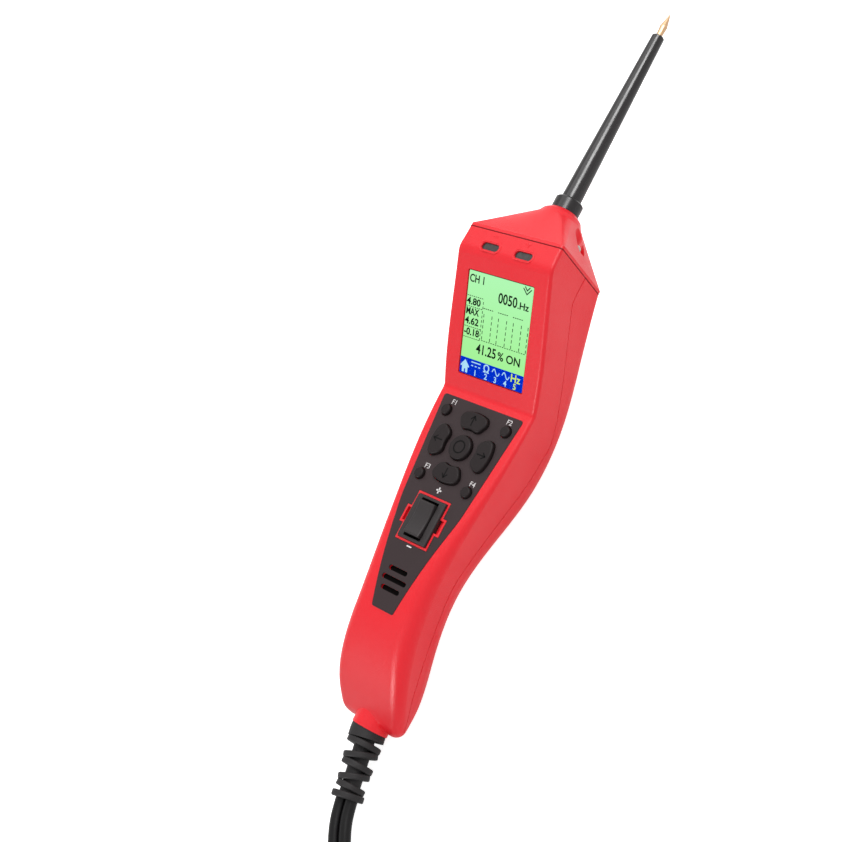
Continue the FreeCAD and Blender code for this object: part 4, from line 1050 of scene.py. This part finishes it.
# Rows of sound slots as station and length
SLOTS = ((49.3, 8.2), (46.0, 10.7), (42.7, 8.2))
SLOT_HEIGHT = 1.6
SLOT_DEPTH = 1.2
# Near-black sheet inside the sound slots that paints their shade, as its thickness and its lap past
# each slot
SHADE_SHEET_THICKNESS = 0.3
SHADE_SHEET_LAP = 0.1


class TESTER_OT_keypad(bpy.types.Operator):
    """Overlay, keys and buttons, with their marks, captions and signs"""
    bl_idname = "tester.keypad"
    bl_label = "Keypad"

    def execute(self, context):
        colours = context.scene.tester_colours
        sizes = context.scene.tester_sizes
        overlay = moulded("overlay_film", colours.overlay, shaded(colours.overlay, 0.9), 0.46, 0.58,
                          grain_scale=5200.0, grain_depth=0.00003, grain_strength=0.3, specular=0.2)
        dress(overlay, "keypad_overlay")
        rubber = moulded("key_rubber", colours.keys, shaded(colours.keys, 0.86), 0.48, 0.6,
                         grain_scale=3600.0, grain_strength=0.3, specular=0.15)
        dress(rubber, *ARROW_KEYS, "centre_key", *BUTTONS)
        self.key_marks(sizes)
        self.captions(colours, sizes)
        self.speaker_cloth()
        return {"FINISHED"}

    def key_marks(self, sizes):
        """Arrows that point away from the middle of the pad, and a ring on the centre key, in
        near-black that paints the shade of engraved grooves.
        """
        # Near-black strokes on the key tops; their darkness is painted shade standing for engraved
        # grooves
        groove_shade = moulded("key_groove", linear(10, 9, 9), linear(7, 6, 6), 0.6, 0.75, specular=0.1)
        width = sizes.mark_width / MM
        proud = sizes.print_proud / MM
        depth = (KEY_TOP - proud, KEY_TOP + proud)
        for quarter, name in enumerate(ARROW_KEYS):
            arrow = strokes(ARROW, width, *depth)
            modify(arrow, "BEVEL", width=ARROW_EDGE, segments=1, limit_method="ANGLE")
            place(arrow, PAD_PLACE @ Matrix.Rotation(-quarter * math.pi / 2, 4, "Z"))
            keep(arrow, f"{name}_arrow", groove_shade, name)
        ring = place(pill(0.0, RING_RADIUS, *depth, width), PAD_PLACE)
        keep(ring, "centre_key_ring", groove_shade, "centre_key")

    def captions(self, colours, sizes):
        """White captions above the buttons, and a plus and a minus at the rocker."""
        white = moulded("print_white", colours.print_white, shaded(colours.print_white, 0.94),
                        0.5, 0.6)
        depth = (OVERLAY_TOP - PRINT_SINK, OVERLAY_TOP + sizes.print_proud / MM)
        height = sizes.caption_height / MM
        made = [lettering(words, height, x, station - HALF_LENGTH, *depth, "CENTER")
                for words, x, station in CAPTIONS]
        plus = cross(0, PLUS_STATION - HALF_LENGTH, SIGN_ARM)
        minus = cross(0, MINUS_STATION - HALF_LENGTH, SIGN_ARM)[:1]
        made.append(strokes(plus, PLUS_WIDTH, *depth))
        made.append(strokes(minus, MINUS_WIDTH, *depth))
        keep(place(join(made), TO_METRES), "overlay_print", white)

    def speaker_cloth(self):
        """Near-black sheet just inside the three sound slots, painted shade that darkens them."""
        # Near-black, matt and dull colour: the shade inside the slots, painted onto a sheet
        shade_sheet = moulded("dust_cloth", linear(12, 10, 10), linear(8, 7, 7), 0.8, 0.95, specular=0.05)
        film = [v.co for v in nodes["keypad_overlay"].data.vertices]
        made = []
        for station, length in SLOTS:
            y = station - HALF_LENGTH
            face = max(c.z for c in film if abs(c.y / MM - y) < SLOT_HEIGHT) / MM
            top = face - SLOT_DEPTH
            piece = pill(length - SLOT_HEIGHT, SLOT_HEIGHT / 2 + SHADE_SHEET_LAP,
                         top - SHADE_SHEET_THICKNESS, top)
            piece.location = (0, y, 0)
            made.append(settle(piece))
        keep(place(join(made), TO_METRES), "speaker_cloth", shade_sheet)


# Rocker switch
class TESTER_OT_rocker(bpy.types.Operator):
    """Rocker switch with its pin and contacts"""
    bl_idname = "tester.rocker"
    bl_label = "Rocker switch"

    def execute(self, context):
        colours = context.scene.tester_colours
        black = moulded("rocker_plastic", colours.rocker, shaded(colours.rocker, 0.85), 0.44, 0.56,
                        grain_scale=3000.0, grain_depth=0.00003, grain_strength=0.3, specular=0.3)
        dress(black, "rocker_housing", "rocker_paddle")
        steel = moulded("pin_steel", linear(168, 168, 172), linear(140, 140, 146), 0.25, 0.4,
                        Metallic=1.0)
        dress(steel, "rocker_pin", "rocker_contacts")
        return {"FINISHED"}


# Probe
class TESTER_OT_probe(bpy.types.Operator):
    """Probe with its collar, glossy sleeve and gold needle"""
    bl_idname = "tester.probe"
    bl_label = "Probe"

    def execute(self, context):
        colours = context.scene.tester_colours
        sleeve = moulded("sleeve_black", colours.sleeve, shaded(colours.sleeve, 1.3), 0.16, 0.28,
                         grain_scale=520.0, grain_depth=0.00008, grain_strength=0.22,
                         drift_scale=240.0, specular=0.42)
        dress(sleeve, "probe_sleeve")
        collar = moulded("collar_black", shaded(colours.sleeve, 1.2), colours.sleeve, 0.22, 0.32,
                         grain_scale=2400.0, specular=0.36)
        dress(collar, "probe_collar")
        gold = moulded("needle_gold", colours.gold, shaded(colours.gold, 0.85), 0.3, 0.42,
                       grain_scale=1500.0, Metallic=1.0)
        dress(gold, "probe_needle", "probe_socket")
        return {"FINISHED"}


# Pieces inside the housing, each finish as name, two colours, roughness, values and nodes
INSIDE = (
    ("board_green", (24, 110, 62), (18, 88, 50), (0.3, 0.5),
     {"grain_scale": 900.0, "drift_scale": 300.0}, ("main_board", "display_board")),
    ("ribbon_amber", (196, 130, 48), (176, 108, 36), (0.35, 0.5), {}, ("display_ribbon",)),
    ("switch_tin", (176, 176, 178), (150, 150, 152), (0.35, 0.5),
     {"Metallic": 1.0}, ("dome_switches",)),
    ("component_black", (30, 30, 32), (42, 42, 44), (0.45, 0.6), {},
     ("speaker", "power_transistors")),
    ("wire_red", (190, 30, 34), (170, 26, 30), (0.35, 0.5), {}, ("socket_lead",)),
    ("wire_black", (30, 30, 32), (40, 40, 42), (0.35, 0.5), {}, ("supply_wires",)),
)


class TESTER_OT_inside(bpy.types.Operator):
    """Boards, switches, speaker, transistors, ribbon and wires"""
    bl_idname = "tester.inside"
    bl_label = "Inside"

    def execute(self, context):
        for name, main_colour, second, roughness, values, pieces in INSIDE:
            finish = moulded(name, linear(*main_colour), linear(*second), *roughness, **values)
            dress(finish, *pieces)
        return {"FINISHED"}


OPERATORS = (
    TESTER_OT_stage,
    TESTER_OT_supply_cord,
    TESTER_OT_housing,
    TESTER_OT_screen,
    TESTER_OT_keypad,
    TESTER_OT_rocker,
    TESTER_OT_probe,
    TESTER_OT_inside,
)
SETTINGS = (
    ("tester_colours", TesterColours),
    ("tester_sizes", TesterSizes),
    ("tester_studio", TesterStudio),
)


class TESTER_PT_pieces(bpy.types.Panel):
    """Pieces of the circuit tester"""
    bl_label = "Circuit tester"
    bl_space_type = "VIEW_3D"
    bl_region_type = "UI"
    bl_category = "Tester"

    def draw(self, context):
        for operator in OPERATORS:
            self.layout.operator(operator.bl_idname)
        for group, _ in SETTINGS:
            settings = getattr(context.scene, group)
            box = self.layout.box()
            for name in settings.__annotations__:
                box.prop(settings, name)


def register():
    for name, group in SETTINGS:
        bpy.utils.register_class(group)
        setattr(bpy.types.Scene, name, PointerProperty(type=group))
    for operator in OPERATORS:
        bpy.utils.register_class(operator)
    bpy.utils.register_class(TESTER_PT_pieces)


def unregister():
    bpy.utils.unregister_class(TESTER_PT_pieces)
    for operator in reversed(OPERATORS):
        bpy.utils.unregister_class(operator)
    for name, group in reversed(SETTINGS):
        delattr(bpy.types.Scene, name)
        bpy.utils.unregister_class(group)


def main():
    register()
    bpy.ops.tester.stage()
    bpy.ops.tester.supply_cord()
    bpy.ops.tester.housing()
    bpy.ops.tester.screen()
    bpy.ops.tester.keypad()
    bpy.ops.tester.rocker()
    bpy.ops.tester.probe()
    bpy.ops.tester.inside()
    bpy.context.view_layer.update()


if __name__ == "__main__":
    main()
